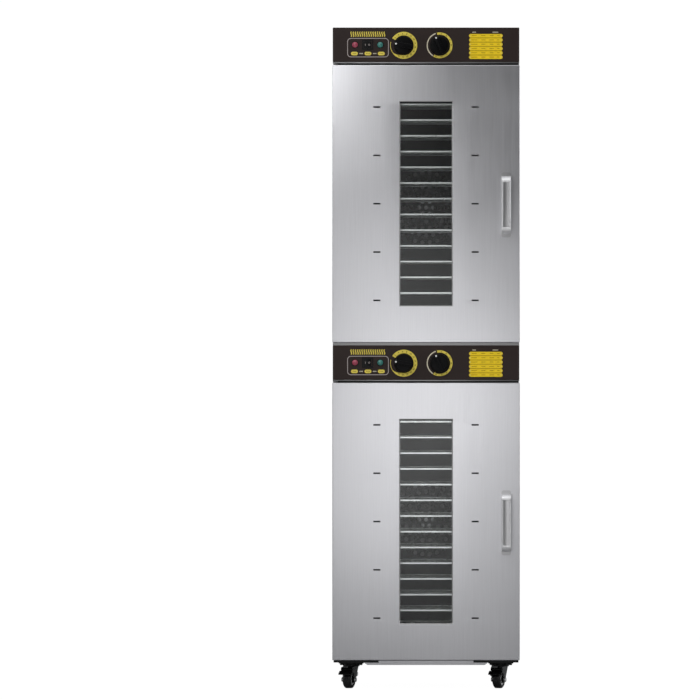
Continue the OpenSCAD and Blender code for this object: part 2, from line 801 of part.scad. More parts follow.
// Mains inlet with three blades, in the rear cover
module power_inlet() {
    color(black) facing_rear(inlet_x, rear_y + sheet, inlet_z) union() {
        difference() {
            union() {
                translate([-inlet_w / 2, -inlet_h / 2, 0]) cube([inlet_w, inlet_h, 2.5]);
                translate([-inlet_body_w / 2, -inlet_body_h / 2, -22])
                    cube([inlet_body_w, inlet_body_h, 22.01]);
            }
            translate([-inlet_body_w / 2 + 3.5, -inlet_body_h / 2 + 2.5, -16])
                cube([inlet_body_w - 7, inlet_body_h - 5, 20]);
        }
        for (x = [-9, 0, 9])
            translate([x - 1, -3, -16.5]) cube([2, 6, 13]);
    }
}

// Bundle of wires from the controls along the casing's top and down its rear to the inlet
module wiring_loom() {
    r = 3.5;
    bend = 10;
    start_y = casing_y + 40;
    run_z = casing_h - sheet - seat - r;
    drop_y = rear_y - sheet - seat - r;
    end_z = inlet_z + inlet_body_h / 2;
    color("#3a3a3a") union() {
        facing_rear(inlet_x, start_y, run_z) cylinder(r = r, h = drop_y - bend - start_y);
        translate([inlet_x, drop_y, run_z - bend]) rotate([0, 0, -90]) elbow(bend, r);
        translate([inlet_x, drop_y, end_z]) cylinder(r = r, h = run_z - bend - end_z);
    }
}

// ---------- base ----------

module at_casters() {
    for (side = [-1, 1], y = [casing_y + caster_inset, rear_y - caster_inset])
        translate([side * caster_x, y, 0]) children();
}

module at_plate_bolts() {
    for (x = [-1, 1], y = [-1, 1]) translate([x * plate_bolts[0], y * plate_bolts[1], 0]) children();
}

module caster_brackets() {
    color(black) difference() {
        for (side = [-1, 1], y = [door_y + 2, rear_y - bracket_d])
            translate([side > 0 ? bracket_in : -bracket_out, y, base_h - bracket_t])
                cube([bracket_out - bracket_in, bracket_d, bracket_t]);
        at_casters() at_plate_bolts() translate([0, 0, base_h - bracket_t - through])
            cylinder(r = bolt_r + running, h = bracket_t + 2 * through);
        translate([pivot_x, pivot_y, base_h - bracket_t - through])
            cylinder(r = pin_r + running, h = bracket_t + 2 * through);
    }
}

module caster_top_plates() {
    color(black) at_casters() translate([0, 0, plate_z]) difference() {
        union() {
            linear_extrude(plate_t) square(plate_size, center = true);
            translate([0, 0, -race_h]) cylinder(r = race_r, h = race_h + 0.01);
        }
        translate([0, 0, -race_h - through])
            cylinder(r = kingpin_r + running, h = race_h + plate_t + 2 * through);
        at_plate_bolts() translate([0, 0, -through])
            cylinder(r = bolt_r + running, h = plate_t + 2 * through);
    }
}

// Folded steel pan between the casters, which closes the underside
module base_pan() {
    slope = 8;
    step_z = base_h - bracket_t - seat;
    front = door_y + 2;
    inner = bracket_in - seat;
    module outline(inset) {
        polygon([[-pan_w / 2 + inset, step_z - inset], [-pan_w / 2 + slope + inset, base_h - pan_h + inset],
                 [pan_w / 2 - slope - inset, base_h - pan_h + inset], [pan_w / 2 - inset, step_z - inset],
                 [inner - inset, step_z - inset], [inner - inset, base_h + (inset > 0 ? through : 0)],
                 [-inner + inset, base_h + (inset > 0 ? through : 0)], [-inner + inset, step_z - inset]]);
    }
    color(steel) difference() {
        translate([0, rear_y, 0]) rotate([90, 0, 0]) linear_extrude(rear_y - front) outline(0);
        translate([0, rear_y - sheet, 0]) rotate([90, 0, 0])
            linear_extrude(rear_y - front - 2 * sheet) outline(sheet);
    }
}

// Frame of one caster: the swivel's axis is at the origin, and the wheel trails towards -Y
module caster_frame(side, rear) {
    translate([side * caster_x, rear ? rear_y - caster_inset : casing_y + caster_inset, 0])
        rotate([0, 0, -caster_turn]) children();
}

module caster_fork(brake) {
    lobe_r = 8;
    color(black) {
        difference() {
            union() {
                translate([0, 0, crown_z]) cylinder(r = race_r - 1, h = crown_h);
                translate([0, 0, crown_z]) cylinder(r = kingpin_r, h = base_h - bracket_t - crown_z - seat);
                for (x = [-cheek_gap - cheek_t, cheek_gap])
                    translate([x, 0, 0]) rotate([90, 0, 90]) linear_extrude(cheek_t) {
                        polygon([[12, crown_z + 1], [-15, crown_z + 1], [-trail - lobe_r, axle_z],
                                 [-trail, axle_z - 2], [-trail + lobe_r, axle_z]]);
                        translate([-trail, axle_z]) circle(lobe_r);
                        if (brake) {
                            translate([pedal_y, pedal_z]) circle(5);
                            polygon([[pedal_y, pedal_z + 5], [-10, crown_z + 1],
                                     [-20, axle_z + 12], [pedal_y - 3, pedal_z - 4]]);
                        }
                    }
            }
            translate([-30, -trail, axle_z]) rotate([0, 90, 0]) cylinder(r = axle_r + running, h = 60);
            if (brake)
                translate([-30, pedal_y, pedal_z]) rotate([0, 90, 0])
                    cylinder(r = pedal_pin_r + running, h = 60);
        }
        // axle bolt and its nut
        translate([0, -trail, axle_z]) rotate([0, 90, 0]) union() {
            cylinder(r = axle_r, h = 2 * (cheek_gap + cheek_t + 2), center = true);
            for (end = [-1, 1])
                translate([0, 0, end * (cheek_gap + cheek_t + 2.02)])
                    cylinder(r = 5.5, h = 3.6, center = true, $fn = 6);
        }
    }
}

module caster_wheel() {
    r = wheel_d / 2;
    w = wheel_w / 2;
    color(black) translate([0, -trail, axle_z]) rotate([0, 90, 0]) rotate_extrude()
        polygon([[axle_r + running, -w - 0.6], [8, -w - 0.6], [8, -w + 2],
                 [r - 6, -w + 2], [r - 5, -w], [r - 2.5, -w + 0.6],
                 [r, -w + 4], [r, w - 4], [r - 2.5, w - 0.6], [r - 5, w], [r - 6, w - 2], [8, w - 2],
                 [8, w + 0.6], [axle_r + running, w + 0.6]]);
}

// Pedal of the wheel brake, on a pin between the fork's cheeks
module brake_pedal() {
    plate_w = 2 * (cheek_gap + cheek_t) + 5;
    hub_w = 2 * (cheek_gap - seat);
    color(black) translate([0, pedal_y, pedal_z]) union() {
        rotate([0, 90, 0]) cylinder(r = 4, h = hub_w, center = true);
        rotate([0, 90, 0]) cylinder(r = pedal_pin_r, h = 2 * (cheek_gap + cheek_t + 1), center = true);
        rotate([39, 0, 0]) {
            translate([-hub_w / 2, -9, -0.5]) cube([hub_w, 9, 2.5]);
            translate([-plate_w / 2, -20, -0.5]) cube([plate_w, 12, 2.5]);
        }
    }
}

// Screws of the rear covers and bolts of the casters
module fasteners() {
    color(bright_steel) {
        in_both() at_cover_screws() translate([0, 0, sheet + 0.02]) screw(6);
        at_casters() at_plate_bolts() translate([0, 0, plate_z - 0.02]) rotate([180, 0, 0])
            union() {
                cylinder(r = bolt_head_r, h = bolt_head_h, $fn = 6);
                translate([0, 0, -plate_t - bracket_t + 0.04]) cylinder(r = bolt_r, h = plate_t + bracket_t);
            }
    }
}

// ---------- the nodes ----------

in_cabinet(0) casing();  // casing_lower
in_cabinet(1) casing();  // casing_upper
in_cabinet(0) chamber_liner();  // chamber_liner_lower
in_cabinet(1) chamber_liner();  // chamber_liner_upper
in_cabinet(0) tray_runners();  // tray_runners_lower
in_cabinet(1) tray_runners();  // tray_runners_upper
in_cabinet(0) trays();  // trays_lower
in_cabinet(1) trays();  // trays_upper
in_cabinet(0) fan_baffle();  // fan_baffle_lower
in_cabinet(1) fan_baffle();  // fan_baffle_upper
in_cabinet(0) fan_motor();  // fan_motor_lower
in_cabinet(1) fan_motor();  // fan_motor_upper
in_cabinet(0) heating_element();  // heating_element_lower
in_cabinet(1) heating_element();  // heating_element_upper
in_cabinet(0) rear_cover();  // rear_cover_lower
in_cabinet(1) rear_cover();  // rear_cover_upper
in_cabinet(0) control_fascia();  // control_fascia_lower
in_cabinet(1) control_fascia();  // control_fascia_upper
in_cabinet(0) door_skin();  // door_skin_lower
in_cabinet(1) door_skin();  // door_skin_upper
in_cabinet(0) door_liner();  // door_liner_lower
in_cabinet(1) door_liner();  // door_liner_upper
in_cabinet(0) window_glass();  // window_glass_lower
in_cabinet(1) window_glass();  // window_glass_upper
in_cabinet(0) door_gasket();  // door_gasket_lower
in_cabinet(1) door_gasket();  // door_gasket_upper
in_cabinet(0) door_handle();  // door_handle_lower
in_cabinet(1) door_handle();  // door_handle_upper
in_cabinet(0) knob(timer_x, timer_turn);  // timer_knob_lower
in_cabinet(1) knob(timer_x, timer_turn);  // timer_knob_upper
in_cabinet(0) knob(thermostat_x, thermostat_turn);  // thermostat_knob_lower
in_cabinet(1) knob(thermostat_x, thermostat_turn);  // thermostat_knob_upper
in_cabinet(0) switch_rocker();  // switch_rocker_lower
in_cabinet(1) switch_rocker();  // switch_rocker_upper
in_cabinet(0) fan_impeller();  // fan_impeller_lower
in_cabinet(1) fan_impeller();  // fan_impeller_upper
in_both() drip_tray();  // drip_trays
in_both() timer();  // timers
in_both() thermostat();  // thermostats
in_both() switch_housing();  // switch_housings
in_both() { pilot_lamp(-1); pilot_lamp(1); }  // pilot_lamps
hinge_pins();
in_both() magnetic_catch();  // magnetic_catches
in_both() power_inlet();  // power_inlets
in_both() wiring_loom();  // wiring_looms
fasteners();
base_pan();
caster_brackets();
caster_top_plates();
in_cabinet(1) stacking_plinth();
caster_frame(-1, false) caster_fork(true);  // caster_fork_front_left
caster_frame(1, false) caster_fork(true);  // caster_fork_front_right
caster_frame(-1, true) caster_fork(false);  // caster_fork_rear_left
caster_frame(1, true) caster_fork(false);  // caster_fork_rear_right
caster_frame(-1, false) caster_wheel();  // caster_wheel_front_left
caster_frame(1, false) caster_wheel();  // caster_wheel_front_right
caster_frame(-1, true) caster_wheel();  // caster_wheel_rear_left
caster_frame(1, true) caster_wheel();  // caster_wheel_rear_right
caster_frame(-1, false) brake_pedal();  // brake_pedal_front_left
caster_frame(1, false) brake_pedal();  // brake_pedal_front_right
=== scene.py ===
"""The looks of a food dehydrator: two steel drying cabinets, one on the other, on four casters."""

import math

import bmesh
import bpy
from mathutils import Matrix, Vector


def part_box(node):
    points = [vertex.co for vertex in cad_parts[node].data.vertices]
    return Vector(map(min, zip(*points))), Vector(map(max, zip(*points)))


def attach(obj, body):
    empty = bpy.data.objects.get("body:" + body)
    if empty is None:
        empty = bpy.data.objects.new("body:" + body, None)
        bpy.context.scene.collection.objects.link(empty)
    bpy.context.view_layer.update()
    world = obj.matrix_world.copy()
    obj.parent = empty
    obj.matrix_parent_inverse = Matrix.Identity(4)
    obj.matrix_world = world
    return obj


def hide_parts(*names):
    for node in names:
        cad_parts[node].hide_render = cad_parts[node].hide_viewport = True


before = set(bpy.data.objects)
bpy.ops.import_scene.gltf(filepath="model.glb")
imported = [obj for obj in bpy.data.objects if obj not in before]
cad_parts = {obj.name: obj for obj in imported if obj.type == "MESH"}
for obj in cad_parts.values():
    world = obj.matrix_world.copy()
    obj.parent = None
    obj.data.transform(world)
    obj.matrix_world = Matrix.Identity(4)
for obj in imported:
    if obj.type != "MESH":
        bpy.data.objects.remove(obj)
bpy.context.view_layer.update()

# ---------------------------------------------------------------------------
# Camera: far off, straight in front of the doors, so that the unit looks as
# flat as on a drawing. The unit stands a little right of the middle.
camera_data = bpy.data.cameras.new("camera")
camera_data.sensor_width, camera_data.lens = 36, 472
camera_data.shift_x = -0.1086
camera_data.clip_end = 100
camera = bpy.data.objects.new("camera", camera_data)
camera.location = (0, -22.28, 0.8138)
camera.rotation_euler = (math.pi / 2, 0, 0)
bpy.context.collection.objects.link(camera)
bpy.context.scene.camera = camera
bpy.context.scene.view_settings.view_transform = "Standard"


# ---------------------------------------------------------------------------
# Studio: columns of small soft lamps in front of the doors, and wide panels
# above, behind and at both sides. Floor and surround look white to the camera
# alone: the floor is painted grey, and the surround is nearly dark in front.
class Finish:
    """A socket in a material's node tree. Sums, differences and products of values add Math nodes."""

    def __init__(self, tree, out=None):
        self.tree, self.out = tree, out

    def add(self, kind, setup=(), feeds=(), out=0):
        """Adds a node, its settings first, then the value or link of each socket. Returns an output."""
        made = self.tree.nodes.new("ShaderNode" + kind)
        for name, value in dict(setup).items():
            if name != "stops":
                setattr(made, name, value)
                continue
            points = made.color_ramp.elements
            while len(points) < len(value):
                points.new(1)
            for point, (place, colour) in zip(points, value):
                point.position, point.color = place, (*colour, 1)
        for socket, value in dict(feeds).items():
            if isinstance(value, Finish):
                self.tree.links.new(value.out, made.inputs[socket])
            else:
                made.inputs[socket].default_value = value
        return Finish(self.tree, made.outputs[out])

    def maths(self, operation, *values):
        return self.add("Math", {"operation": operation}, dict(enumerate(values)))

    def __add__(self, other):
        return self.maths("ADD", self, other)

    def __sub__(self, other):
        return self.maths("SUBTRACT", self, other)

    def __rsub__(self, other):
        return self.maths("SUBTRACT", other, self)

    def __mul__(self, other):
        return self.maths("MULTIPLY", self, other)

    __radd__, __rmul__ = __add__, __mul__

    def parts(self):
        """The three numbers of a vector."""
        return [self.add("SeparateXYZ", feeds={0: self}, out=i) for i in range(3)]

    def scaled(self, x, y, z):
        return self.add("Mapping", feeds={"Vector": self, "Scale": (x, y, z)})

    def noise(self, scale, detail=2.0, roughness=0.5):
        return self.add("TexNoise", feeds={"Vector": self, "Scale": scale, "Detail": detail,
                                           "Roughness": roughness})

    def ramp(self, *stops):
        """A colour that follows this value, from (place, colour) stops."""
        return self.add("ValToRGB", {"stops": stops}, {0: self})

    def range(self, low, high):
        """Spreads the value's middle part, 0.3 to 0.7, from low to high."""
        return self.spread(0.3, 0.7, low, high)

    def spread(self, from_low, from_high, low, high):
        """Spreads what lies between two values from low to high."""
        return self.add("MapRange", feeds={"Value": self, "From Min": from_low, "From Max": from_high,
                                           "To Min": low, "To Max": high})

    def bump(self, height, strength):
        return self.add("Bump", feeds={"Height": self, "Distance": height, "Strength": strength})

    def to(self, shader, socket):
        self.tree.links.new(self.out, shader.inputs[socket])


def new_finish(name, colour, **fixed):
    """A material, its shader, and the place on the object in metres. Fixed values go on the shader."""
    material = bpy.data.materials.new(name)
    material.use_nodes = True
    shader = material.node_tree.nodes["Principled BSDF"]
    shader.inputs["Base Color"].default_value = (*colour, 1)
    for socket, value in fixed.items():
        shader.inputs[socket.replace("_", " ").title().replace("Ior", "IOR")].default_value = value
    return material, shader, Finish(material.node_tree).add("TexCoord", out="Object")


def light_panel(name, place, aim, width, height, watts):
    data = bpy.data.lights.new(name, "AREA")
    data.shape, data.size, data.size_y = "RECTANGLE", width, height
    data.energy = watts
    panel = bpy.data.objects.new(name, data)
    panel.location = place
    panel.rotation_euler = (Vector(aim) - Vector(place)).to_track_quat("-Z", "Y").to_euler()
    panel.visible_camera = False
    bpy.context.collection.objects.link(panel)


surround = bpy.data.worlds.new("surround")
surround.use_nodes = True
bpy.context.scene.world = surround
sky = Finish(surround.node_tree)
behind = sky.add("Background", feeds={"Color": (1, 1, 1, 1), "Strength": 1.02})
front_dark = sky.add("Background", feeds={"Color": (0.94, 0.97, 1, 1), "Strength": 0.02})
sides_pale = sky.add("Background", feeds={"Color": (0.96, 0.98, 1, 1), "Strength": 0.62})
backwards = sky.add("TexCoord", out="Generated").parts()[1]
turning = backwards.spread(-0.82, -0.05, 0, 1)
around = sky.add("MixShader", feeds={0: turning, 1: front_dark, 2: sides_pale})
seen = sky.add("LightPath", out="Is Camera Ray")
surround_output = surround.node_tree.nodes["World Output"]
sky.add("MixShader", feeds={0: seen, 1: around, 2: behind}).to(surround_output, "Surface")

lamp_columns = ((-0.42, (0, 0, 0, 0, 0, 2.03)),
                (-0.15, (0.09, 0.45, 0.48, 0.4, 0.12, 0.05)),
                (0.12, (0.13, 0.26, 0.59, 0.22, 0, 0)))
lowest_lamp, lamp_step, highest_lamp, lamps_ahead = 0.1, 0.3, 1.62, 1.5
for x, watts in lamp_columns:
    for row, power in enumerate(watts):
        z = min(lowest_lamp + lamp_step * row, highest_lamp)
        if power:
            light_panel(f"lamp_{row}", (x, -lamps_ahead, z), (x, 0, z), 0.3, 0.32, power)
light_panel("panel_front_high", (-0.6, -3.0, 4.0), (0, 0, 0.9), 4.6, 3.2, 50)
light_panel("panel_left", (-2.6, -1.2, 1.7), (0, 0, 0.8), 1.4, 2.0, 10)
light_panel("panel_right", (2.6, -1.3, 1.5), (0, 0, 0.8), 1.0, 1.6, 10)
light_panel("panel_back", (0.8, 3.0, 2.0), (0, 0, 0.9), 2.0, 1.6, 26)
light_panel("panel_overhead", (0, -0.4, 4.2), (0, 0, 0), 5.0, 5.0, 40)

floor_finish, shader, place = new_finish("floor_paint", (0.34, 0.34, 0.34), specular_ior_level=0.1)
place.noise(3, 3).range(0.8, 0.95).to(shader, "Roughness")
bare = Finish(floor_finish.node_tree)
painted = Finish(floor_finish.node_tree, shader.outputs[0])
bright = bare.add("Emission", feeds={"Color": (1, 1, 1, 1), "Strength": 1.08})
seen = bare.add("LightPath", out="Is Camera Ray") * 0.92
floor_output = floor_finish.node_tree.nodes["Material Output"]
bare.add("MixShader", feeds={0: seen, 1: painted, 2: bright}).to(floor_output, "Surface")
shape = bmesh.new()
bmesh.ops.create_grid(shape, x_segments=1, y_segments=1, size=4)
floor_mesh = bpy.data.meshes.new("floor")
shape.to_mesh(floor_mesh)
floor_mesh.materials.append(floor_finish)
floor = bpy.data.objects.new("floor", floor_mesh)
bpy.context.collection.objects.link(floor)

# ---------------------------------------------------------------------------
# Casings: folded stainless sheet, brushed upright, with the edges of the
# mouth, of the panel's opening and of the open rear turned in, a narrow ledge
# that carries the top hinge pin, and a dark strip that the door closes over:
# painted shadow on the casing's face in the gap above the door.
LEVELS = ("lower", "upper")
SHEET = 0.0012


def steel_finish(name, colour, roughness, grain=(1, 1, 0), cloud=0.08):
    """Stainless sheet: fine scratches along the grain, and faint clouds where it was rolled and wiped."""
    material, shader, place = new_finish(name, colour, metallic=1.0)
    scratches = place.scaled(*(700 if across else 10 for across in grain)).noise(1.0, 3, 0.65)
    clouds = place.noise(4, 2)
    dark, light = (tuple(c * k for c in colour) for k in (1 - cloud, 1 + cloud))
    (scratches * 0.5 + clouds * 0.5).ramp((0.35, dark), (0.65, light)).to(shader, "Base Color")
    (scratches * 0.16 + clouds * 0.08 + (roughness - 0.12)).to(shader, "Roughness")
    scratches.bump(0.00002, 0.25).to(shader, "Normal")
    return material


def new_block(shape, low, high):
    """Adds a box between two corners."""
    low, high = Vector(low), Vector(high)
    at = Matrix.Translation((low + high) / 2) @ Matrix.Diagonal((*(high - low), 1))
    return bmesh.ops.create_cube(shape, size=1, matrix=at)["verts"]


def round_edges(shape, picked, radius, segments=3):
    """Rounds the edges that a test picks by their middle and their direction."""
    chosen = []
    for edge in shape.edges:
        one, other = (v.co for v in edge.verts)
        if picked((one + other) / 2, (other - one).normalized()):
            chosen.append(edge)
    bmesh.ops.bevel(shape, geom=chosen, offset=radius, offset_type="OFFSET", segments=segments, profile=0.5,
                    affect="EDGES", material=-1, clamp_overlap=True)


def open_side(shape, y):
    """Takes away the face that lies at y, so that a block becomes a folded tray."""
    gone = [f for f in shape.faces if all(abs(v.co.y - y) < 1e-6 for v in f.verts)]
    bmesh.ops.delete(shape, geom=gone, context="FACES")


def panel_faces(shape, y, areas=None):
    """The faces that lie at y, or those of them inside any of the areas (left, bottom, right, top)."""
    flat = [f for f in shape.faces if all(abs(v.co.y - y) < 1e-6 for v in f.verts)]
    if areas is None:
        return flat
    middles = [(f, f.calc_center_median()) for f in flat]
    return [f for f, c in middles if any(a[0] < c.x < a[2] and a[1] < c.z < a[3] for a in areas)]


def score(shape, y, areas, border=0.001):
    """Cuts the flat face at y along the sides of each area, inside a border that stays whole."""
    field = panel_faces(shape, y)
    bmesh.ops.inset_region(shape, faces=field, thickness=border, use_even_offset=True)
    corners = [v.co for f in field for v in f.verts]
    across, up = [c.x for c in corners], [c.z for c in corners]
    field = (min(across), min(up), max(across), max(up))
    for axis in (0, 2):
        for cut in sorted({area[axis // 2 + k] for area in areas for k in (0, 2)}):
            flat = panel_faces(shape, y, [field])
            near = {part for f in flat for part in (*f.verts, *f.edges, f)}
            line, normal = Vector((0, 0, 0)), Vector((axis == 0, 0, axis == 2))
            line[axis] = cut
            bmesh.ops.bisect_plane(shape, geom=list(near), dist=1e-6, plane_co=line, plane_no=normal)


def pierce(shape, y, areas):
    """Cuts rectangular holes in the flat face at y."""
    score(shape, y, areas)
    bmesh.ops.delete(shape, geom=panel_faces(shape, y, areas), context="FACES")


def add_piece(name, shape, body, finish, slot, stands_for=(), crease=35):
    """Makes an object of a finished shape. It rides on a body of the frame."""
    mesh = bpy.data.meshes.new(name)
    shape.normal_update()
    shape.to_mesh(mesh)
    shape.free()
    mesh.polygons.foreach_set("use_smooth", [True] * len(mesh.polygons))
    mesh.set_sharp_from_angle(angle=math.radians(crease))
    mesh.materials.append(finish)
    made = bpy.data.objects.new(name, mesh)
    bpy.context.collection.objects.link(made)
    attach(made, body)
    if stands_for:
        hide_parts(*stands_for)
    return made


def level_faces(made):
    """Keeps the flat faces flat in the light, and lets only the rounded edges turn it."""
    flat = made.modifiers.new("flat", "WEIGHTED_NORMAL")
    flat.weight, flat.keep_sharp = 100, True
    return made


def thicken(made, thickness, outwards=-1, even=True):
    """Gives a sheet its thickness, inwards from its outer skin, or the other way where outwards is 1."""
    wall = made.modifiers.new("sheet", "SOLIDIFY")
    wall.thickness, wall.offset, wall.use_even_offset = thickness, outwards, even
    return level_faces(made)


def soften(made, radius, segments=2, angle=40):
    """Takes the sharpness off the edges, as a brush or a mould does."""
    rounding = made.modifiers.new("softened", "BEVEL")
    rounding.width, rounding.segments = radius, segments
    rounding.limit_method, rounding.angle_limit = "ANGLE", math.radians(angle)
    return level_faces(made)


satin_steel = steel_finish("satin_steel", (0.628, 0.628, 0.652), 0.33, (1, 1, 0), 0.05)
# The ledge and the plinth: the casing's steel painted much darker, painted shade under the panel and between
# the cabinets.
shaded_ledge_steel = steel_finish("shaded_ledge_steel", (0.25, 0.25, 0.252), 0.36, (0, 1, 1), 0.06)
# Near-black matt paint for the strip above each mouth: painted shadow, not a real part.
painted_shadow_strip, shader, place = new_finish("painted_shadow_strip", (0.04, 0.04, 0.04), specular_ior_level=0.1)
place.noise(90, 2).range(0.6, 0.8).to(shader, "Roughness")
place.noise(20, 2).ramp((0.3, (0.034, 0.034, 0.034)), (0.7, (0.046, 0.046, 0.046))).to(shader, "Base Color")

lip, post, rear_flange, ledge_thick, head = 0.001, 0.024, 0.012, 0.003, 0.006
strip_bottom, strip_inset, strip_thick, hair = 0.6625, 0.002, 0.0006, 0.00005
for level in LEVELS:
    low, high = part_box("casing_" + level)
    mouth_low, mouth_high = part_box("chamber_liner_" + level)
    panel_low, panel_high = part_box("control_fascia_" + level)
    front = panel_high.y
    shape = bmesh.new()
    new_block(shape, (low.x, front, low.z), (high.x, high.y, high.z))
    round_edges(shape, lambda p, d: abs(d.y) > 0.9 or p.y > high.y - 1e-4, 0.002)
    side = mouth_high.x - lip
    pierce(shape, front, [(-side, mouth_low.z + lip, side, mouth_high.z - lip),
                          (low.x + post, panel_low.z + ledge_thick, high.x - post, high.z - head)])
    pierce(shape, high.y, [(low.x + rear_flange, low.z + rear_flange,
                            high.x - rear_flange, high.z - rear_flange)])
    node = "casing_" + level
    thicken(add_piece("casing_shell_" + level, shape, "cabinets", satin_steel, "satin_steel", [node]), SHEET)

    shape = bmesh.new()
    new_block(shape, (low.x, low.y, panel_low.z - ledge_thick),
              (high.x, front - 2 * hair, panel_low.z - hair))
    round_edges(shape, lambda p, d: True, 0.0006, 2)
    add_piece("panel_ledge_" + level, shape, "cabinets", shaded_ledge_steel, "satin_steel", [node])

    # The dark strip on the casing's face above the mouth: painted shadow in the gap between door and ledge.
    shape = bmesh.new()
    new_block(shape, (low.x + strip_inset, front - strip_thick, low.z + strip_bottom),
              (high.x - strip_inset, front - hair, panel_low.z - ledge_thick - 2 * hair))
    add_piece("mouth_shadow_strip_" + level, shape, "cabinets", painted_shadow_strip, "silicone_seal")

# ---------------------------------------------------------------------------
# Rear covers: a flat steel sheet with pressed ribs, screwed to the casing, and
# a pressed hump with louvres that clears the motor.
inlet_low, inlet_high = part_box("power_inlets")
half, inlet_inset, inlet_bottom, inlet_top = 0.130, 0.0042, 0.0488, 0.0712
rib_half_length, rib_half_height, rib_border, rib_depth = 0.16, 0.008, 0.004, 0.0022
louvre_columns, louvre_pitch, louvre_half_length, louvre_half_height = (-0.065, 0.065), 0.018, 0.030, 0.0025
for level in LEVELS:
    low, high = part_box("rear_cover_" + level)
    liner_low, liner_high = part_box("chamber_liner_" + level)
    middle = (liner_low.z + liner_high.z) / 2
    back = low.y + SHEET
    shape = bmesh.new()
    new_block(shape, (low.x, low.y, low.z), (high.x, back, high.z))
    open_side(shape, low.y)
    opening = [(-half + SHEET, middle - half + SHEET, half - SHEET, middle + half - SHEET),
               (inlet_low.x + inlet_inset, low.z + inlet_bottom,
                inlet_high.x - inlet_inset, low.z + inlet_top)]
    ribs = [(-rib_half_length, middle + z - rib_half_height, rib_half_length, middle + z + rib_half_height)
            for z in (-0.235, -0.185, 0.185, 0.235, 0.345)]
    score(shape, back, opening + ribs)
    bmesh.ops.delete(shape, geom=panel_faces(shape, back, opening), context="FACES")
    bmesh.ops.inset_region(shape, faces=panel_faces(shape, back, ribs), thickness=rib_border, depth=rib_depth)
    cover = "rear_cover_" + level
    rear_sheet = add_piece("rear_sheet_" + level, shape, "cabinets", satin_steel, "satin_steel", [cover])
    thicken(rear_sheet, SHEET * 0.98)

    shape = bmesh.new()
    new_block(shape, (-half, back + 0.0001, middle - half), (half, high.y, middle + half))
    open_side(shape, back + 0.0001)
    round_edges(shape, lambda p, d: p.y > high.y - 1e-5 or abs(d.y) > 0.9, 0.006, 4)
    louvres = []
    for side in louvre_columns:
        for row in range(-4, 5):
            z = middle + row * louvre_pitch
            louvres.append((side - louvre_half_length, z - louvre_half_height,
                            side + louvre_half_length, z + louvre_half_height))
    pierce(shape, high.y, louvres)
    thicken(add_piece("rear_hump_" + level, shape, "cabinets", satin_steel, "satin_steel", [cover]), SHEET)


# ---------------------------------------------------------------------------
# Base: a folded steel pan between the casters, black enamelled plates under
# the corners, and the low plinth between the two cabinets.
def dress(node, finish):
    """Gives a node of the frame its finish."""
    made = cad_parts[node]
    made.data.materials.clear()
    made.data.materials.append(finish)


black_enamel, shader, place = new_finish("black_enamel", (0.004, 0.004, 0.0042), specular_ior_level=0.2,
                                         coat_weight=0.12, coat_roughness=0.15)
place.noise(240, 3).range(0.28, 0.42).to(shader, "Roughness")
place.noise(700, 2).bump(0.00003, 0.3).to(shader, "Normal")
# The plinth takes the darker steel: painted shade between the cabinets.
dress("stacking_plinth", shaded_ledge_steel)
dress("base_pan", satin_steel)
dress("caster_brackets", black_enamel)
dress("caster_top_plates", black_enamel)

# ---------------------------------------------------------------------------
# Chambers: plain stainless linings with the runners that carry the trays, a
# drip tray on the floor, and the perforated panel in front of the fan. Their
# steel is painted darker than the outer steel, painted shade inside the closed
# chambers, and the panel darkest of all.
inner_steel = steel_finish("inner_steel", (0.3, 0.3, 0.3), 0.42, (1, 0, 1), 0.12)
shaded_baffle_steel = steel_finish("shaded_baffle_steel", (0.13, 0.13, 0.13), 0.5, (1, 0, 1), 0.15)
for level in LEVELS:
    dress("chamber_liner_" + level, inner_steel)
    dress("tray_runners_" + level, inner_steel)
    dress("fan_baffle_" + level, shaded_baffle_steel)
dress("drip_trays", inner_steel)

# ---------------------------------------------------------------------------
# Trays: welded wire mesh in a flat rim, sixteen to a cabinet, with the wires
# nearly 13 mm apart one way and nearly 14 mm the other.
tray_wire, shader, place = new_finish("tray_wire", (0.88, 0.88, 0.87), metallic=1.0)
place.noise(60, 3).range(0.27, 0.4).to(shader, "Roughness")
place.noise(25, 2).ramp((0.3, (0.84, 0.84, 0.83)), (0.7, (0.92, 0.92, 0.91))).to(shader, "Base Color")


def new_rod(shape, one, other, radius, sides=4):
    """Adds a straight rod between two points."""
    one, other = Vector(one), Vector(other)
    turn = (other - one).to_track_quat("Z", "Y").to_matrix().to_4x4()
    bmesh.ops.create_cone(shape, cap_ends=True, segments=sides, radius1=radius, radius2=radius,
                          depth=(other - one).length, matrix=Matrix.Translation((one + other) / 2) @ turn)


trays, tray_thick, rim, rim_under = 16, 0.005, 0.0045, 0.0014
wires_across, wires_deep, wire_radius, wire_inset = 32, 28, 0.0007, 0.003
upper_wires, lower_wires = 0.0042, 0.003
for level in LEVELS:
    low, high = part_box("trays_" + level)
    shape = bmesh.new()
    for tray in range(trays):
        z = low.z + tray * (high.z - low.z - tray_thick) / (trays - 1)
        for edge in (low.x, high.x - rim):
            new_block(shape, (edge, low.y, z + rim_under), (edge + rim, high.y, z + tray_thick))
        for edge in (low.y, high.y - rim):
            new_block(shape, (low.x + rim, edge, z + rim_under), (high.x - rim, edge + rim, z + tray_thick))
        for i in range(1, wires_across):
            x = low.x + (high.x - low.x) * i / wires_across
            new_rod(shape, (x, low.y + wire_inset, z + upper_wires),
                    (x, high.y - wire_inset, z + upper_wires), wire_radius)
        for i in range(1, wires_deep):
            y = low.y + (high.y - low.y) * i / wires_deep
            new_rod(shape, (low.x + wire_inset, y, z + lower_wires),
                    (high.x - wire_inset, y, z + lower_wires), wire_radius)
    add_piece("wire_trays_" + level, shape, "cabinets", tray_wire, "tray_wire", ["trays_" + level])

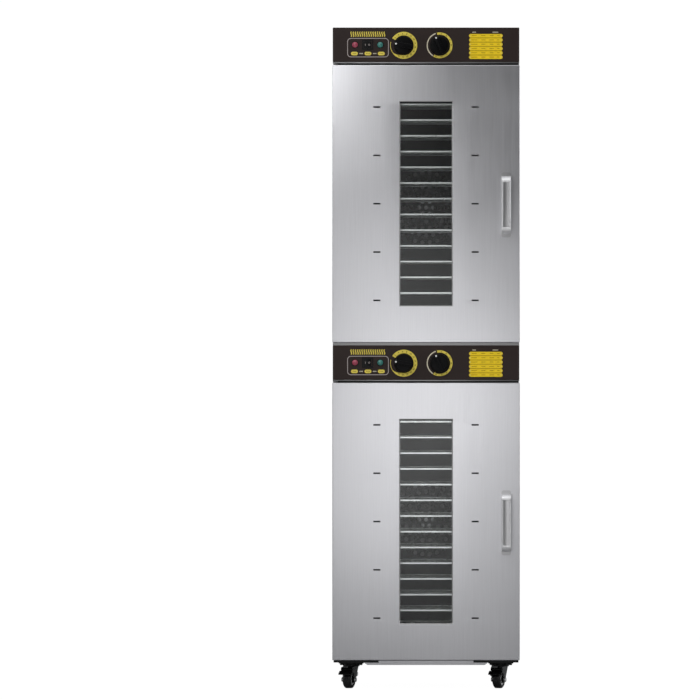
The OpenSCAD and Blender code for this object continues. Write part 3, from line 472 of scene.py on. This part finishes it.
# ---------------------------------------------------------------------------
# Fans, motors and heating elements, behind the perforated panels: an aluminium
# fan on the motor's shaft, the motor in a dark enamelled case, and an element
# of bent tube in a metal sheath, tinted by heat.
fan_aluminium = steel_finish("fan_aluminium", (0.72, 0.72, 0.73), 0.35, (0, 0, 0), 0.08)
motor_enamel, shader, place = new_finish("motor_enamel", (0.05, 0.05, 0.055))
place.noise(150, 3).range(0.35, 0.55).to(shader, "Roughness")
place.noise(400, 2).bump(0.00005, 0.3).to(shader, "Normal")
heater_sheath, shader, place = new_finish("heater_sheath", (0.28, 0.24, 0.2), metallic=1.0)
place.noise(18, 3).ramp((0.3, (0.2, 0.16, 0.13)), (0.7, (0.36, 0.31, 0.27))).to(shader, "Base Color")
place.noise(90, 3).range(0.35, 0.6).to(shader, "Roughness")
for level in LEVELS:
    dress("fan_impeller_" + level, fan_aluminium)
    dress("fan_motor_" + level, motor_enamel)
    dress("heating_element_" + level, heater_sheath)

# ---------------------------------------------------------------------------
# Doors: a brushed steel skin folded back all round, pierced for ten vent
# slots and pressed in round the window, and a flat inner panel behind it.
# A darker, rougher copy of the door's steel for the ring pressed in round the window: painted shade that dims
# the ring's highlight.
shaded_rim_steel = steel_finish("shaded_rim_steel", (0.42, 0.42, 0.425), 0.45, (1, 1, 0), 0.05)
slot_columns, slot_pitch, slot_half_length, slot_half_height = (-0.118, 0.118), 0.116, 0.0085, 0.0019
window_half_width, window_half_height, press_width, press_depth = 0.0648, 0.2468, 0.0028, 0.0011
for level in LEVELS:
    low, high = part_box("door_skin_" + level)
    middle = (low.z + high.z) / 2
    shape = bmesh.new()
    new_block(shape, low, high)
    open_side(shape, high.y)
    round_edges(shape, lambda p, d: p.y < low.y + 1e-5 or abs(d.y) > 0.9, 0.0013)
    slots = []
    for side in slot_columns:
        for row in range(-2, 3):
            z = middle + row * slot_pitch
            slots.append((side - slot_half_length, z - slot_half_height,
                          side + slot_half_length, z + slot_half_height))
    window = [(-window_half_width, middle - window_half_height,
               window_half_width, middle + window_half_height)]
    score(shape, low.y, window + slots)
    bmesh.ops.delete(shape, geom=panel_faces(shape, low.y, slots), context="FACES")
    sunk = panel_faces(shape, low.y, window)
    # The pressed-in ring's faces take the darker steel: painted shade.
    for f in bmesh.ops.inset_region(shape, faces=sunk, thickness=press_width, depth=-press_depth)["faces"]:
        f.material_index = 1
    bmesh.ops.delete(shape, geom=sunk, context="FACES")
    skin = add_piece("door_face_" + level, shape, "door_" + level, satin_steel, "satin_steel",
                     ["door_skin_" + level])
    skin.data.materials.append(shaded_rim_steel)
    thicken(skin, SHEET)
    # The inner panel takes the darker inside steel: painted shade.
    dress("door_liner_" + level, inner_steel)

# ---------------------------------------------------------------------------
# Windows: one pane of clear toughened glass to a door, 4 mm thick, held
# behind the skin by the frame on the inner panel.
window_glass = bpy.data.materials.new("window_glass")
window_glass.use_nodes = True
pane = Finish(window_glass.node_tree)
clear = pane.add("BsdfTransparent", feeds={"Color": (0.95, 0.965, 0.965, 1)})
gloss = pane.add("BsdfGlossy", feeds={"Color": (1, 1, 1, 1), "Roughness": 0.22})
shine = pane.add("Fresnel", feeds={"IOR": 1.38})
pane_output = window_glass.node_tree.nodes["Material Output"]
pane.add("MixShader", feeds={0: shine, 1: clear, 2: gloss}).to(pane_output, "Surface")
for level in LEVELS:
    dress("window_glass_" + level, window_glass)

# ---------------------------------------------------------------------------
# Door seals: a soft pale silicone strip with rounded edges, fixed round the
# back of each door, that closes the gap to the casing.
def facing(x, y, z, turn=0):
    """Places a flat drawing upright, so that it faces the front, and turns it to the left."""
    upright = Matrix.Translation((x, y, z)) @ Matrix.Rotation(math.pi / 2, 4, "X")
    return upright @ Matrix.Rotation(turn, 4, "Z")


def new_label(shape, at, width, height, radius=0.0, line=0.0):
    """Adds a flat label with rounded corners, or only a line round its border."""
    others = set(shape.faces)
    corners = bmesh.ops.create_grid(shape, x_segments=1, y_segments=1, size=0.5,
                                    matrix=at @ Matrix.Diagonal((width, height, 1, 1)))["verts"]
    if radius:
        bmesh.ops.bevel(shape, geom=corners, offset=min(radius, height * 0.499), offset_type="OFFSET",
                        segments=6, profile=0.5, affect="VERTICES", material=-1)
    if line:
        inner = [f for f in shape.faces if f not in others]
        bmesh.ops.inset_region(shape, faces=inner, thickness=line, use_boundary=True, use_even_offset=True)
        bmesh.ops.delete(shape, geom=inner, context="FACES")


silicone_seal, shader, place = new_finish("silicone_seal", (0.62, 0.61, 0.58))
place.noise(80, 2).range(0.5, 0.65).to(shader, "Roughness")
place.noise(12, 2).ramp((0.3, (0.56, 0.55, 0.52)), (0.7, (0.65, 0.64, 0.61))).to(shader, "Base Color")
for level in LEVELS:
    low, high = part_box("door_gasket_" + level)
    shape = bmesh.new()
    new_label(shape, facing(0, low.y, (low.z + high.z) / 2), high.x - low.x, high.z - low.z, 0.008, 0.010)
    seal = add_piece("door_seal_" + level, shape, "door_" + level, silicone_seal, "silicone_seal",
                     ["door_gasket_" + level])
    thicken(seal, high.y - low.y)
    soften(seal, 0.0013, 4)

# ---------------------------------------------------------------------------
# Handles: pressed bright metal, with flat feet, sloping ends, and a shallow
# channel down the grip, the feet and the channel painted darker as painted
# shade. Two screws from inside the door hold each.
handle_metal = steel_finish("handle_metal", (0.82, 0.82, 0.83), 0.55, (1, 1, 0), 0.04)
# A darker copy of the handle's metal for its feet and channel: painted shade.
shaded_channel_metal = steel_finish("shaded_channel_metal", (0.52, 0.52, 0.53), 0.36, (1, 1, 0), 0.05)
for level in LEVELS:
    low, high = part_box("door_handle_" + level)
    door_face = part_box("door_skin_" + level)[0].y
    middle, half = (low.z + high.z) / 2, (high.z - low.z) / 2
    reach = door_face - low.y
    top, foot = half - 0.009, 0.003
    back = reach - 0.006
    back_top = top - 0.010 * (back - foot) / (reach - foot) - 0.009
    turns = [math.radians(15 * step) for step in range(1, 7)]
    bend = [(reach - 0.013 * (1 - math.sin(a)), top - 0.002 - 0.0095 * (1 - math.cos(a))) for a in turns]
    edge = [(foot, half), (foot, top), *bend]
    edge += [(out, -up) for out, up in reversed(edge)]
    hollow_back = [(0, 0.009 - top), (back, -back_top), (back, back_top), (0, top - 0.009)]
    outline = [(0, half), *edge, (0, -half), *hollow_back]
    shape = bmesh.new()
    side = shape.faces.new([shape.verts.new((low.x, door_face - out, middle + up)) for out, up in outline])
    swept = bmesh.ops.extrude_face_region(shape, geom=[side], use_keep_orig=True)["geom"]
    far_side = [v for v in swept if isinstance(v, bmesh.types.BMVert)]
    bmesh.ops.translate(shape, verts=far_side, vec=(high.x - low.x, 0, 0))
    bmesh.ops.recalc_face_normals(shape, faces=shape.faces)
    round_edges(shape, lambda p, d: abs(d.y) > 0.9 and abs(p.z - middle) > half - 1e-5, 0.005, 5)
    grip = panel_faces(shape, low.y)
    for border, sink in ((0.0034, 0), (0.0004, 0.0016)):
        bmesh.ops.inset_region(shape, faces=grip, thickness=border, depth=-sink)

    def on_grip(p, d):
        """True for the edges of the bar's two sides, in front of its feet, and the channel's long edges."""
        height = abs(p.z - middle)
        if p.y >= door_face - foot - 0.0001 or abs(d.x) >= 0.1 or height >= top - 0.001:
            return False
        return min(p.x - low.x, high.x - p.x) < 1e-5 or (p.y < low.y + 1e-5 and height < top - 0.012)

    round_edges(shape, on_grip, 0.0015, 4)
    # Faces at the feet take the darker metal: painted shade.
    for f in shape.faces:
        f.material_index = int(all(v.co.y > door_face - foot - 1e-5 for v in f.verts))
    bar = add_piece("handle_bar_" + level, shape, "door_" + level, handle_metal, "handle_metal",
                    ["door_handle_" + level], 50)
    bar.data.materials.append(shaded_channel_metal)
    level_faces(bar)

    shape = bmesh.new()
    inset, end_gap, hollow, cuts = 0.0039, 0.0152, 0.0007, 8
    width = high.x - low.x - 2 * inset
    new_block(shape, (low.x + inset, low.y + 0.0008, middle - top + end_gap),
              (high.x - inset, low.y + 0.0018, middle + top - end_gap))
    for cut in range(1, cuts):
        x = low.x + inset + width * cut / cuts
        bmesh.ops.bisect_plane(shape, geom=[*shape.verts, *shape.edges, *shape.faces], dist=1e-7,
                               plane_co=(x, 0, 0), plane_no=(1, 0, 0))
    for v in shape.verts:
        across = (v.co.x - (low.x + high.x) / 2) / width * 2
        if v.co.y < low.y + 0.0012:
            v.co.y += hollow * (1 - across * across)
    # The channel's strip takes the darker metal: painted shade.
    add_piece("handle_channel_" + level, shape, "door_" + level, shaded_channel_metal, "handle_metal",
              ["door_handle_" + level])

# ---------------------------------------------------------------------------
# Hinge pins of dark oiled steel, and screws of bright plated steel. The
# bolts that hold the caster plates, lowest of all, are blackened.
pin_steel = steel_finish("pin_steel", (0.22, 0.22, 0.22), 0.4, (0, 0, 0), 0.1)
dress("hinge_pins", pin_steel)
screw_steel, shader, place = new_finish("screw_steel", (0.75, 0.75, 0.76), metallic=1.0)
bracket_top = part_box("caster_brackets")[1].z
plated = place.parts()[2].spread(bracket_top + 0.0003, bracket_top + 0.001, 0, 0.9)
blackened = ((0, (0.012, 0.012, 0.0125)), (0.1, (0.025, 0.025, 0.026)))
zinc = ((0.9, (0.7, 0.7, 0.71)), (1, (0.8, 0.8, 0.81)))
(plated + place.noise(300, 2) * 0.1).ramp(*blackened, *zinc).to(shader, "Base Color")
place.noise(200, 3).range(0.18, 0.4).to(shader, "Roughness")
dress("fasteners", screw_steel)

# ---------------------------------------------------------------------------
# Control panels: dark brown enamelled steel, folded back at all four edges and
# set in the front of each casing, above the ledge.
brown_enamel, shader, place = new_finish("brown_enamel", (0.032, 0.022, 0.02), specular_ior_level=0.13)
place.noise(9, 2).ramp((0.3, (0.029, 0.02, 0.0185)), (0.7, (0.035, 0.0245, 0.022))).to(shader, "Base Color")
place.noise(300, 3).range(0.42, 0.54).to(shader, "Roughness")
place.noise(900, 2).bump(0.00002, 0.3).to(shader, "Normal")
for level in LEVELS:
    low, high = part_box("control_fascia_" + level)
    shape = bmesh.new()
    new_block(shape, low, high)
    open_side(shape, high.y)
    round_edges(shape, lambda p, d: p.y < low.y + 1e-5 or abs(d.y) > 0.9, 0.0015)
    thicken(add_piece("panel_face_" + level, shape, "cabinets", brown_enamel, "brown_enamel",
                      ["control_fascia_" + level]), 0.0015)

# ---------------------------------------------------------------------------
# Prints on the panels: ink laid on the enamel. A grey frame goes round the
# switch and lamps, with a row of warm air marks above it and three yellow
# labels inside, a numbered band round each dial, and a yellow guide of six rows.
INK = 0.00012


def ink_finish(name, colour, wear=0.06):
    """Screen printed ink, a little uneven."""
    material, shader, place = new_finish(name, colour, specular_ior_level=0.2)
    dark, light = (tuple(c * k for c in colour) for k in (1 - wear, 1 + wear))
    place.noise(160, 3).ramp((0.3, dark), (0.7, light)).to(shader, "Base Color")
    place.noise(500, 2).range(0.4, 0.55).to(shader, "Roughness")
    return material


yellow_ink = ink_finish("yellow_ink", (0.92, 0.67, 0.02))
band_ink = ink_finish("band_ink", (0.8, 0.65, 0.1))
ochre_ink = ink_finish("ochre_ink", (0.52, 0.32, 0.004))
pale_ink = ink_finish("pale_ink", (0.72, 0.66, 0.5))
grey_ink = ink_finish("grey_ink", (0.42, 0.37, 0.36))
dark_ink = ink_finish("dark_ink", (0.03, 0.022, 0.012))


def new_band(shape, x, y, z, radius, start, end, width_at):
    """Adds a curved band between two clock angles in degrees, as wide as width_at says at each angle."""
    begin = Vector((math.sin(math.radians(start)), 0, math.cos(math.radians(start))))
    others = set(shape.verts)
    ends = [shape.verts.new(Vector((x, y, z)) + begin * r) for r in (radius - 0.001, radius)]
    bmesh.ops.spin(shape, geom=[*ends, shape.edges.new(ends)], cent=(x, y, z), axis=(0, 1, 0),
                   angle=math.radians(end - start), steps=60, use_merge=False)
    for v in shape.verts:
        out = v.co - Vector((x, y, z))
        if v in others or out.length > radius - 0.0005:
            continue
        clock = math.degrees(math.atan2(out.x, out.z)) % 360
        if clock > end + 1:
            clock -= 360
        v.co = Vector((x, y, z)) + out.normalized() * (radius - width_at(clock))


def new_figure(shape, text, at, size):
    """Adds a number."""
    drawing = bpy.data.curves.new("figure", "FONT")
    drawing.body, drawing.size, drawing.resolution_u = text, size, 3
    drawing.align_x, drawing.align_y = "CENTER", "CENTER"
    holder = bpy.data.objects.new("figure", drawing)
    flat = bpy.data.meshes.new_from_object(holder)
    flat.transform(at)
    shape.from_mesh(flat)
    bpy.data.objects.remove(holder)
    bpy.data.curves.remove(drawing)
    bpy.data.meshes.remove(flat)


def add_ink(name, shape, finish):
    """Makes a print of a flat drawing, as thick as its ink."""
    bmesh.ops.remove_doubles(shape, verts=shape.verts, dist=1e-7)
    thicken(add_piece(name, shape, "cabinets", finish, "brown_enamel"), INK, 1, False)


for level in LEVELS:
    low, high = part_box("control_fascia_" + level)
    y, top = low.y - 0.00001, high.z
    over = y - INK

    grey = bmesh.new()
    new_label(grey, facing(-0.1393, y, top - 0.0484), width=0.0996, height=0.046, radius=0.0086, line=0.0016)
    add_ink("panel_print_frame_" + level, grey, grey_ink)

    yellow, pale, dark = bmesh.new(), bmesh.new(), bmesh.new()
    label_z = top - 0.0625
    for x in (-0.1718, -0.1394, -0.1073):
        new_label(yellow, facing(x, y, label_z), width=0.0165, height=0.0086, radius=0.0043)
        for dot in (-0.0032, 0, 0.0032):
            new_label(dark, facing(x + dot, over, label_z), width=0.0018, height=0.0014)
    for x in (-0.1556, -0.1234):
        for dot in (-0.003, 0, 0.003):
            new_label(pale, facing(x + dot, y, label_z), width=0.002, height=0.0026, radius=0.0009)

    first_mark, mark_pitch, mark_foot, mark_rise, sway = -0.1795, 0.0053, top - 0.0222, 0.00124, 0.0009
    for mark in range(16):
        mark_x = first_mark + mark * mark_pitch
        rail = [(mark_x + math.sin(up * math.pi / 5) * sway, mark_foot + up * mark_rise) for up in range(11)]
        pairs = [[yellow.verts.new((x + side, y, z)) for side in (-0.0012, 0.0012)] for x, z in rail]
        for (a, b), (c, d) in zip(pairs, pairs[1:]):
            yellow.faces.new((a, b, d, c))

    timer_low, timer_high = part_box("timer_knob_" + level)
    timer_x, dial_z = (timer_low.x + timer_high.x) / 2, (timer_low.z + timer_high.z) / 2
    new_band(yellow, timer_x, y, dial_z, 0.03245, -58, 285, lambda a: 0.0088 if a < 195 else
             max(0.0012, 0.0088 - (a - 195) * 0.00018))
    ring = 0.0281
    for hour in range(13):
        clock = math.radians(-48 + hour * 21)
        at = facing(timer_x + math.sin(clock) * ring, over, dial_z + math.cos(clock) * ring, -clock)
        new_figure(dark, str(hour * 2 + 2), at, 0.0052)

    thermo_low, thermo_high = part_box("thermostat_knob_" + level)
    thermo_x = (thermo_low.x + thermo_high.x) / 2
    new_band(yellow, thermo_x, y, dial_z, 0.031, -12, 210, lambda a: 0.0055)
    new_band(pale, thermo_x, y, dial_z, 0.031, 212, 342, lambda a: 0.0026)
    ring = 0.0279
    for step in range(8):
        clock = math.radians(8 + step * 27)
        at = facing(thermo_x + math.sin(clock) * ring, over, dial_z + math.cos(clock) * ring, -clock)
        new_figure(dark, str(35 + step * 5), at, 0.0042)

    ochre = bmesh.new()
    guide_x, guide_z, row_pitch = 0.1436, top - 0.0455, 0.0103
    new_label(ochre, facing(guide_x, y, guide_z), width=0.0765, height=0.0605, radius=0.003)
    rows = bmesh.new()
    for row in range(6):
        z = guide_z + (2.5 - row) * row_pitch
        new_label(rows, facing(guide_x, over, z), width=0.0809, height=0.0084, radius=0.0042)
        for side in (-0.0374, 0.0374):
            end = facing(guide_x + side, over - INK, z)
            new_label(yellow, end, width=0.0032, height=0.0054, radius=0.0015)
        first, third = 0.012 + 0.002 * (row % 3), 0.009 + 0.002 * (row % 2)
        for x, width in ((-0.028, first), (-0.006, 0.010), (0.014, third), (0.030, 0.006)):
            new_label(ochre, facing(guide_x + x, over - INK, z + 0.0003), width, height=0.0017, radius=0.0008)
    for x, width in ((0.1155, 0.009), (0.1665, 0.014)):
        new_label(pale, facing(x, y, top - 0.0112), width, height=0.0016, radius=0.0007)

    add_ink("panel_print_yellow_" + level, yellow, band_ink)
    add_ink("panel_print_pale_" + level, pale, pale_ink)
    add_ink("panel_print_dark_" + level, dark, dark_ink)
    add_ink("panel_print_guide_back_" + level, ochre, ochre_ink)
    add_ink("panel_print_guide_rows_" + level, rows, yellow_ink)

# ---------------------------------------------------------------------------
# Dial knobs: black moulded plastic with a round skirt, a grip across the face,
# and a white dot at the pointer's end. Each turns with its spindle.
knob_plastic, shader, place = new_finish("knob_plastic", (0.0035, 0.0035, 0.004), specular_ior_level=0.08)
place.noise(120, 3).range(0.3, 0.42).to(shader, "Roughness")
place.noise(900, 2).bump(0.00002, 0.2).to(shader, "Normal")
dot_paint, shader, place = new_finish("dot_paint", (0.85, 0.85, 0.82))
place.noise(400, 2).range(0.4, 0.55).to(shader, "Roughness")


def new_turned(shape, profile, centre, axis, steps=48, closed=False):
    """Turns a profile of (radius, height along the axis) points about an axis, as on a lathe."""
    axis, centre = Vector(axis).normalized(), Vector(centre)
    out = axis.orthogonal().normalized()
    points = [shape.verts.new(centre + out * r + axis * h) for r, h in profile]
    pairs = list(zip(points, points[1:])) + ([(points[-1], points[0])] if closed else [])
    bmesh.ops.spin(shape, geom=points + [shape.edges.new(pair) for pair in pairs], cent=centre, axis=axis,
                   angle=2 * math.pi, steps=steps, use_merge=True)
    bmesh.ops.remove_doubles(shape, verts=shape.verts, dist=1e-6)
    bmesh.ops.recalc_face_normals(shape, faces=shape.faces)


for kind, turn in (("timer", 80), ("thermostat", 26)):
    for level in LEVELS:
        node = f"{kind}_knob_{level}"
        low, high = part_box(node)
        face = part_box("control_fascia_" + level)[0].y
        x, z = (low.x + high.x) / 2, (low.z + high.z) / 2
        r = (high.z - low.z) / 2
        front = face - low.y
        left = math.radians(turn)
        shape = bmesh.new()
        skirt = [(0, 0.001), (r - 0.0004, 0.001), (r, 0.0014), (r, 0.0042), (r - 0.0006, 0.0050)]
        crown = [(r - 0.0016, 0.0055), (r - 0.0026, 0.0095), (r - 0.0034, 0.0105), (r - 0.0060, 0.0109),
                 (0, 0.0100)]
        new_turned(shape, skirt + crown, (x, face, z), (0, -1, 0))
        add_piece(f"{kind}_dial_{level}", shape, f"{kind}_dial_{level}", knob_plastic, "knob_plastic", [node])
        shape = bmesh.new()
        grip_half, grip_end = 0.0052, r - 0.0016
        new_block(shape, (-grip_half, -front, -grip_end), (grip_half, -0.0060, grip_end))
        round_edges(shape, lambda p, d: abs(d.y) > 0.9, 0.0042, 5)
        round_edges(shape, lambda p, d: p.y < -front + 1e-5, 0.0014, 3)
        turned = Matrix.Translation((x, face, z)) @ Matrix.Rotation(-left, 4, "Y")
        bmesh.ops.transform(shape, matrix=turned, verts=shape.verts)
        add_piece(f"{kind}_grip_{level}", shape, f"{kind}_dial_{level}", knob_plastic, "knob_plastic")
        shape = bmesh.new()
        grip_top = Matrix.Translation((x, low.y, z)) @ Matrix.Rotation(-left, 4, "Y")
        dot = grip_top @ Matrix.Translation((0, 0.0001, r - 0.0044)) @ Matrix.Rotation(math.pi / 2, 4, "X")
        bmesh.ops.create_cone(shape, cap_ends=True, segments=20, radius1=0.0023, radius2=0.0021, depth=0.0003,
                              matrix=dot)
        add_piece(f"{kind}_pointer_{level}", shape, f"{kind}_dial_{level}", dot_paint, "knob_plastic")

# ---------------------------------------------------------------------------
# Switches: a black bezel snapped into the panel, and a rocker with a bar and
# a ring moulded in, pale, for on and off. It rests tipped to its off side.
black_plastic, shader, place = new_finish("black_plastic", (0.007, 0.007, 0.0075), specular_ior_level=0.15)
place.noise(200, 3).range(0.3, 0.45).to(shader, "Roughness")
place.noise(800, 2).bump(0.00003, 0.3).to(shader, "Normal")
dress("switch_housings", black_plastic)
switch_x, pivot_inwards, resting, slope = -0.1402, 0.005, math.radians(-7), math.radians(8.6)
mark_out, mark_front = 0.0046, -0.00695
for level in LEVELS:
    dress("switch_rocker_" + level, black_plastic)
    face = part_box("control_fascia_" + level)[0].y
    low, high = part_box("switch_rocker_" + level)
    pivot = Matrix.Translation((switch_x, face + pivot_inwards, (low.z + high.z) / 2))
    rocker = pivot @ Matrix.Rotation(resting, 4, "Z")
    marks = bmesh.new()
    for side, width, line in ((-1, 0.0009, 0), (1, 0.0044, 0.0008)):
        tilt = Matrix.Rotation(-side * slope, 4, "Z") @ Matrix.Rotation(math.pi / 2, 4, "X")
        at = rocker @ Matrix.Translation((side * mark_out, mark_front, 0)) @ tilt
        new_label(marks, at, width, 0.0044 if line else 0.005, width * 0.49, line)
    thicken(add_piece("rocker_marks_" + level, marks, "rocker_" + level, grey_ink, "black_plastic"), INK, 1)

# ---------------------------------------------------------------------------
# Pilot lamps: a clear red and a clear green lens in black rims, either side
# of the switch.
red_lens, shader, place = new_finish("red_lens", (0.36, 0.045, 0.085), roughness=0.2, coat_weight=0.4)
place.noise(220, 2).ramp((0.3, (0.32, 0.04, 0.075)), (0.7, (0.4, 0.055, 0.1))).to(shader, "Base Color")
green_lens, shader, place = new_finish("green_lens", (0.03, 0.19, 0.16), roughness=0.2, coat_weight=0.4)
place.noise(220, 2).ramp((0.3, (0.025, 0.16, 0.135)), (0.7, (0.04, 0.22, 0.19))).to(shader, "Base Color")
lamps_low, lamps_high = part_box("pilot_lamps")
lamp_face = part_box("control_fascia_lower")[0].y
rim_r = 0.0084
lamp_z = {"lower": lamps_low.z + rim_r, "upper": lamps_high.z - rim_r}
for colour, lens, x in (("red", red_lens, lamps_low.x + rim_r), ("green", green_lens, lamps_high.x - rim_r)):
    for level in LEVELS:
        at = (x, lamp_face, lamp_z[level])
        shape = bmesh.new()
        rim_profile = [(0.0045, 0), (rim_r, 0), (rim_r, 0.0008), (0.0079, 0.0014), (0.0072, 0.0014),
                       (0.0069, 0.0010), (0.0045, 0.0008)]
        new_turned(shape, rim_profile, at, (0, -1, 0), 40, True)
        add_piece(f"{colour}_lamp_rim_{level}", shape, "cabinets", black_plastic, "black_plastic",
                  ["pilot_lamps"])
        shape = bmesh.new()
        angles = [math.radians(10 * step) for step in range(9)]
        dome = [(0.007 * math.cos(a), 0.0011 + 0.0042 * math.sin(a)) for a in angles]
        new_turned(shape, [(0, 0.0009), (0.0068, 0.0009), *dome, (0, 0.0053)], at, (0, -1, 0), 40)
        add_piece(f"{colour}_lamp_lens_{level}", shape, "cabinets", lens, colour + "_lens", ["pilot_lamps"])

# ---------------------------------------------------------------------------
# Timer and thermostat cases of pale moulded plastic behind the panels, black
# plastic catches at the top of each mouth, black mains inlets in the rear
# covers, and the wiring in dark sleeves.
unit_plastic, shader, place = new_finish("unit_plastic", (0.5, 0.46, 0.38))
place.noise(140, 3).range(0.4, 0.55).to(shader, "Roughness")
place.noise(30, 2).ramp((0.3, (0.46, 0.42, 0.34)), (0.7, (0.54, 0.5, 0.42))).to(shader, "Base Color")
loom_sleeve, shader, place = new_finish("loom_sleeve", (0.03, 0.03, 0.032))
place.scaled(600, 600, 600).noise(1, 2).range(0.55, 0.75).to(shader, "Roughness")
place.noise(900, 2).bump(0.0002, 0.5).to(shader, "Normal")
dress("timers", unit_plastic)
dress("thermostats", unit_plastic)
dress("magnetic_catches", black_plastic)
dress("power_inlets", black_plastic)
dress("wiring_looms", loom_sleeve)

# ---------------------------------------------------------------------------
# Casters: black enamelled forks on ball races, moulded black wheels with a
# raised ring on each side, and a brake pedal on each front one.
nut_steel = steel_finish("nut_steel", (0.95, 0.95, 0.95), 0.62, (0, 0, 0), 0.04)
wheel_plastic, shader, place = new_finish("wheel_plastic", (0.009, 0.009, 0.0095), specular_ior_level=0.35)
place.noise(180, 3).range(0.3, 0.46).to(shader, "Roughness")
place.noise(600, 2).bump(0.00005, 0.3).to(shader, "Normal")
turn = math.radians(-19)
c, s = math.cos(turn), math.sin(turn)
nut_radius, nut_thick, nut_out = 0.00556, 0.00364, 0.01652
for corner in ("front_left", "front_right", "rear_left", "rear_right"):
    dress("caster_fork_" + corner, black_enamel)
    low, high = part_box("caster_wheel_" + corner)
    hub = (low + high) / 2
    r = (high.z - low.z) / 2
    bore = [(0.0031, 0.0111), (0.0078, 0.0111), (0.0083, 0.0106), (0.0084, 0.0078)]
    dish = [(0.0135, 0.0076), (0.0146, 0.0082), (0.0152, 0.0101), (0.0158, 0.0105), (0.0172, 0.0105)]
    tread = [(0.0178, 0.0099), (0.0182, 0.0096), (r - 0.0012, 0.0086), (r - 0.0003, 0.0072), (r, 0.0055)]
    half_profile = bore + dish + tread
    shape = bmesh.new()
    new_turned(shape, half_profile + [(a, -h) for a, h in reversed(half_profile)], hub, (c, s, 0), 56, True)
    add_piece("wheel_" + corner, shape, "wheel_" + corner, wheel_plastic, "wheel_plastic",
              ["caster_wheel_" + corner])

    shape = bmesh.new()
    for side in (-1, 1):
        ring = [(0.0089, 0.0079), (0.0132, 0.0079), (0.0129, 0.0087), (0.0118, 0.0091), (0.0092, 0.0091)]
        new_turned(shape, [(a, side * h) for a, h in ring], hub, (c, s, 0), 40, True)
    add_piece("wheel_ring_" + corner, shape, "wheel_" + corner, nut_steel, "bright_steel")

    shape = bmesh.new()
    for side in (-1, 1):
        middle = hub + Vector((c, s, 0)) * side * nut_out
        at = Matrix(((-s, 0, c, middle.x), (c, 0, s, middle.y), (0, 1, 0, middle.z), (0, 0, 0, 1)))
        bmesh.ops.create_cone(shape, cap_ends=True, segments=6, radius1=nut_radius, radius2=nut_radius,
                              depth=nut_thick, matrix=at)
    soften(add_piece("axle_nuts_" + corner, shape, "swivel_" + corner, nut_steel, "bright_steel"), 0.0005)
for corner in ("front_left", "front_right"):
    dress("brake_pedal_" + corner, black_enamel)
